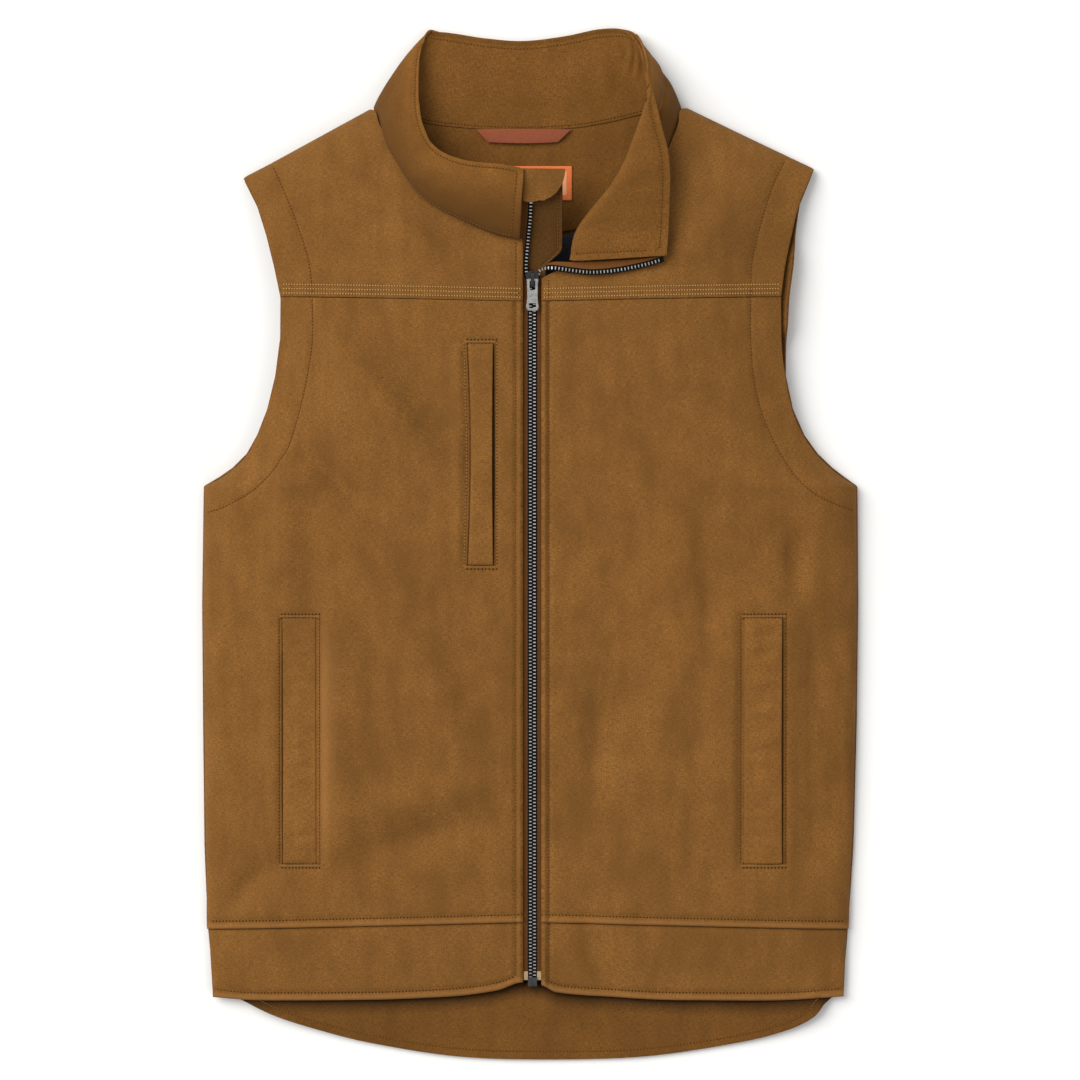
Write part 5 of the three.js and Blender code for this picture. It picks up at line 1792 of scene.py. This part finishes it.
class MakeNeckTrim(bpy.types.Operator):
    """Make the hanger loop and the blank neck label"""
    bl_idname = "vest.make_neck_trim"
    bl_label = "Hanger loop and label"

    def execute(self, context):
        cloth = context.scene.vest_cloth

        def loop(u, v):
            start, end = (lerp(foot, top, v) for foot, top in zip(LOOP["foot"], LOOP["top"]))
            y = lerp(*LOOP["y"], v) - LOOP["sag"] * half_wave(u) * (1 - v)
            bow = LOOP["bow"] * half_wave(u) + LOOP["round"] * half_wave(v)
            return Vector((lerp(start, end, u), y, LOOP["height"] + bow))

        tape = tape_material("loop_herringbone", toned(cloth.loop_colour, 1.16), 0.0007)
        cloth_piece("hanger_loop_tape", cloth_grid((40, 12), loop), [tape], THICK["loop"],
                    (0.082, 0.0115), "hanger_loop")

        def label(u, v):
            bow = LABEL["bow"] * half_wave(u) * half_wave(v)
            return Vector((lerp(*LABEL["x"], u), lerp(*LABEL["y"], v), LABEL["height"] + bow))

        wide, high = LABEL_SIZE
        bm = cloth_grid((40, 16), label, lambda u, v: (u * wide, v * high))
        weave = label_material(cloth.label_colour)
        cloth_piece("neck_label_cloth", bm, [weave], THICK["label"], (wide, high),
                    "neck_label")
        return {"FINISHED"}


def surface_of(name):
    """Search tree of a piece's finished surface."""
    return BVHTree.FromObject(bpy.data.objects[name], bpy.context.evaluated_depsgraph_get())


# Threads, and the dark beads of painted shade in the needle holes, in the order of their materials: name,
# colour, roughness
THREADS = (
    ("sewing_thread", "colour", 0.6),
    ("needle_hole", "hole_shade_colour", 0.9),
    ("chest_thread", "bright_colour", 0.6),
    ("hem_needle_hole", "hem_hole_shade_colour", 0.9),
    ("pocket_thread", "frame_colour", 0.6),
)
SEWING, HOLE, CHEST, HEM_HOLE, POCKET = range(len(THREADS))

# Kinds of stitch: materials of thread and needle hole, their widths by the thread's, pitch by the usual one
Stitch = namedtuple("Stitch", "thread hole thread_wide hole_wide pitch")
STITCHES = {
    "plain": Stitch(SEWING, HOLE, 1.0, 1.6, 1.0),
    "heavy": Stitch(SEWING, HEM_HOLE, 1.15, 2.1, 1.0),
    "bright": Stitch(CHEST, HOLE, 1.6, 1.9, 0.8),
    "frame": Stitch(POCKET, HOLE, 1.1, 1.6, 1.0),
    "tack": Stitch(POCKET, HOLE, 2.4, 0.0, 0.36),
}
BEAD = {"long": 0.86, "high": 0.75, "rise": 0.16}
NEEDLE_HOLE = {"long": 0.52, "high": 0.7}
CAST_HEIGHT = 200.0
CAST = {"start": 5.0, "past": 3.0}


def add_bead(bm, matrix, material):
    """A bead of thread, or a dark bead of painted shade in a needle hole."""
    made = bmesh.ops.create_icosphere(bm, subdivisions=1, radius=0.5, matrix=matrix)["verts"]
    for face in {face for vert in made for face in vert.link_faces}:
        face.material_index = material


def sew_row(bm, points, normals, sizes, kind="plain"):
    """A row of stitches on points, with a needle hole between each two."""
    form = STITCHES[kind]
    for i in range(len(points) - 1):
        a, b = points[i], points[i + 1]
        way = (b - a).normalized()
        normal = (normals[i] + normals[i + 1]).normalized()
        side = normal.cross(way).normalized()
        turned = Matrix((way, side, way.cross(side))).transposed().to_4x4()
        span, wide = (b - a).length, sizes.width
        middle = Matrix.Translation((a + b) / 2 + normal * wide * BEAD["rise"])
        bead = Matrix.Diagonal((span * BEAD["long"], wide * form.thread_wide, wide * BEAD["high"], 1.0))
        add_bead(bm, middle @ turned @ bead, form.thread)
        # Painted shade: a dark bead in the needle hole between two stitches
        if form.hole_wide:
            hole = Matrix.Diagonal(
                (span * NEEDLE_HOLE["long"], wide * form.hole_wide, wide * NEEDLE_HOLE["high"], 1.0))
            add_bead(bm, Matrix.Translation(b) @ turned @ hole, form.hole)


class MakeStitching(bpy.types.Operator):
    """Sew the stitch rows on the panels and the collar"""
    bl_idname = "vest.make_stitching"
    bl_label = "Stitching"

    def execute(self, context):
        sizes = context.scene.vest_stitching
        materials = [thread_material(name, getattr(sizes, colour), rough) for name, colour, rough in THREADS]
        pitch = sizes.pitch / MM
        for target, curves in STITCH_ROWS.items():
            piece = f"{target.removesuffix('_panel')}_cloth"
            surface = surface_of(piece)
            bm = bmesh.new()
            for curve, kind in curves:
                points, normals = [], []
                for place in evenly(curve, pitch * STITCHES[kind].pitch):
                    above = Vector((*place, CAST_HEIGHT)) * MM
                    hit, normal, _, _ = surface.ray_cast(above, Vector((0, 0, -1)))
                    if hit:
                        points.append(hit)
                        normals.append(normal)
                sew_row(bm, points, normals, sizes, kind)
            self.sew_on(f"{target}_stitches", bm, materials)
        self.sew_collar(sizes, materials)
        return {"FINISHED"}

    def sew_on(self, name, bm, materials):
        for face in bm.faces:
            face.smooth = True
        new_piece(name, bm, materials)

    def sew_collar(self, sizes, materials):
        pitch = sizes.pitch / MM
        neck_start, neck_end = (row / (len(COLLAR) - 1) for row in COLLAR_BACK)
        start = COLLAR_ROW / COLLAR_LENGTH
        lapel_end = 1 - start * LAPEL_END["row"]
        right_end = (COLLAR_RIGHT_FRONT - 0.5) / (len(COLLAR) - 1)

        def edge_row(end, inset):
            def at(t):
                u = lerp(start, end, t)
                return u, collar_place(u, collar_height(u) - inset)
            return at

        def neck_row(begin, end):
            return lambda t: (lerp(begin, end, t), collar_place(lerp(begin, end, t), COLLAR_NECK_ROW))

        rows = {
            "inner": (edge_row(lapel_end, COLLAR_ROW), lambda t: (lapel_end, lerp(0.3, 0.92, t)),
                      neck_row(neck_start - 0.02, neck_end)),
            "outer": (edge_row(right_end, COLLAR_OUTER_ROW), lambda t: (start, lerp(0.04, 0.93, t)),
                      neck_row(start, right_end)),
        }
        for face, layer in (("inner", 1), ("outer", -1)):
            surface = surface_of(f"collar_{face}_cloth")
            bm = bmesh.new()
            for row in rows[face]:
                sew_row(bm, *self.on_layer(row, surface, layer, pitch), sizes)
            self.sew_on(f"collar_{face}_stitches", bm, materials)

    def on_layer(self, row, surface, layer, pitch):
        """Points a pitch apart along a row, on the face of one of the collar's layers, and their normals."""
        samples = [row(i / 900) for i in range(901)]
        start = CAST["start"] if layer > 0 else COLLAR_BULGE + CAST["start"]
        middles = [collar_middle(*sample) for sample in samples]
        points, normals, gone = [], [], pitch
        for i, middle in enumerate(middles):
            gone += (middle - middles[max(i - 1, 0)]).length
            if gone < pitch:
                continue
            gone -= pitch
            normal = collar_normal(*samples[i]) * layer
            hit = surface.ray_cast((middle + normal * start) * MM, -normal, (start + CAST["past"]) * MM)[0]
            if hit:
                points.append(hit)
                normals.append(normal)
        return points, normals


def aimed(location, target):
    return (Vector(target) - Vector(location)).to_track_quat("-Z", "Y")


# Floor's half width and level, the lights, and the camera with its sensor in millimetres
FLOOR = {"half": 15.0, "level": -0.0004}
LIGHTS = (
    ("key_light", (-7.6, 5.2, 9.0), 11.0, "key_power", (1.0, 0.985, 0.96)),
    ("fill_light", (7.0, -5.0, 8.0), 7.0, "fill_power", (0.97, 0.985, 1.0)),
)
CAMERA = {"place": (0.0083, 0.0033), "level": 0.025, "sensor": 36.0, "clip_end": 100.0}


def add_light(name, location, size, power, colour):
    light = bpy.data.lights.new(name, "AREA")
    light.size = size
    light.energy = power
    light.color = colour
    lamp = bpy.data.objects.new(name, light)
    lamp.location = location
    lamp.rotation_mode = "QUATERNION"
    lamp.rotation_quaternion = aimed(location, (0, 0, 0))
    bpy.context.scene.collection.objects.link(lamp)


class MakeStage(bpy.types.Operator):
    """Set up the floor, the light and the camera above the vest"""
    bl_idname = "vest.make_stage"
    bl_label = "Stage"

    def execute(self, context):
        stage = context.scene.vest_stage
        bm = bmesh.new()
        level = Matrix.Translation((0, 0, FLOOR["level"]))
        bmesh.ops.create_grid(bm, x_segments=4, y_segments=4, size=FLOOR["half"], matrix=level)
        mesh = bpy.data.meshes.new("floor")
        bm.to_mesh(mesh)
        bm.free()
        mesh.materials.append(mottled_material(
            "floor", stage.floor_colour, 3.0, 0.995, 1.005, Roughness=0.9, Specular_IOR_Level=0.1))
        floor = bpy.data.objects.new("floor", mesh)
        context.scene.collection.objects.link(floor)
        for name, place, size, power, colour in LIGHTS:
            add_light(name, place, size, getattr(stage, power), colour)
        world = context.scene.world or bpy.data.worlds.new("surround")
        context.scene.world = world
        world.use_nodes = True
        nodes = world.node_tree.nodes
        background = nodes.get("Background") or nodes.new("ShaderNodeBackground")
        background.inputs["Color"].default_value = (1.0, 1.0, 1.0, 1.0)
        background.inputs["Strength"].default_value = stage.sky
        camera = bpy.data.cameras.new("camera")
        camera.lens = stage.lens
        camera.sensor_width = CAMERA["sensor"]
        camera.clip_end = CAMERA["clip_end"]
        eye = bpy.data.objects.new("camera", camera)
        distance = stage.view_width * stage.lens / camera.sensor_width
        eye.location = (*CAMERA["place"], CAMERA["level"] + distance)
        context.scene.collection.objects.link(eye)
        context.scene.camera = eye
        context.scene.view_settings.view_transform = "Standard"
        return {"FINISHED"}


class VestPanel(bpy.types.Panel):
    """Steps and sizes of the vest"""
    bl_idname = "VIEW3D_PT_softshell_vest"
    bl_label = "Softshell vest"
    bl_space_type = "VIEW_3D"
    bl_region_type = "UI"
    bl_category = "Vest"

    def draw(self, context):
        layout = self.layout
        for operator in OPERATORS:
            layout.operator(operator.bl_idname)
        for name in GROUPS:
            box = layout.box()
            group = getattr(context.scene, name)
            for prop in group.__annotations__:
                box.prop(group, prop)


GROUPS = {
    "vest_cloth": VestCloth,
    "vest_stitching": VestStitching,
    "vest_zip": VestZip,
    "vest_stage": VestStage,
}
OPERATORS = (
    MakeStage, MakeBack, MakeFronts, MakeYokes, MakeHemBands, MakeCollar, MakeZipTapes, MakeZipTeeth,
    MakeZipMetal, MakePocketWelts, MakeNeckTrim, MakeStitching,
)


def register():
    for group in GROUPS.values():
        bpy.utils.register_class(group)
    for name, group in GROUPS.items():
        setattr(bpy.types.Scene, name, bpy.props.PointerProperty(type=group))
    for operator in OPERATORS:
        bpy.utils.register_class(operator)
    bpy.utils.register_class(VestPanel)


def unregister():
    bpy.utils.unregister_class(VestPanel)
    for operator in reversed(OPERATORS):
        bpy.utils.unregister_class(operator)
    for name, group in GROUPS.items():
        delattr(bpy.types.Scene, name)
        bpy.utils.unregister_class(group)


def main():
    register()
    for operator in OPERATORS:
        group, name = operator.bl_idname.split(".")
        getattr(getattr(bpy.ops, group), name)()


if __name__ == "__main__":
    main()
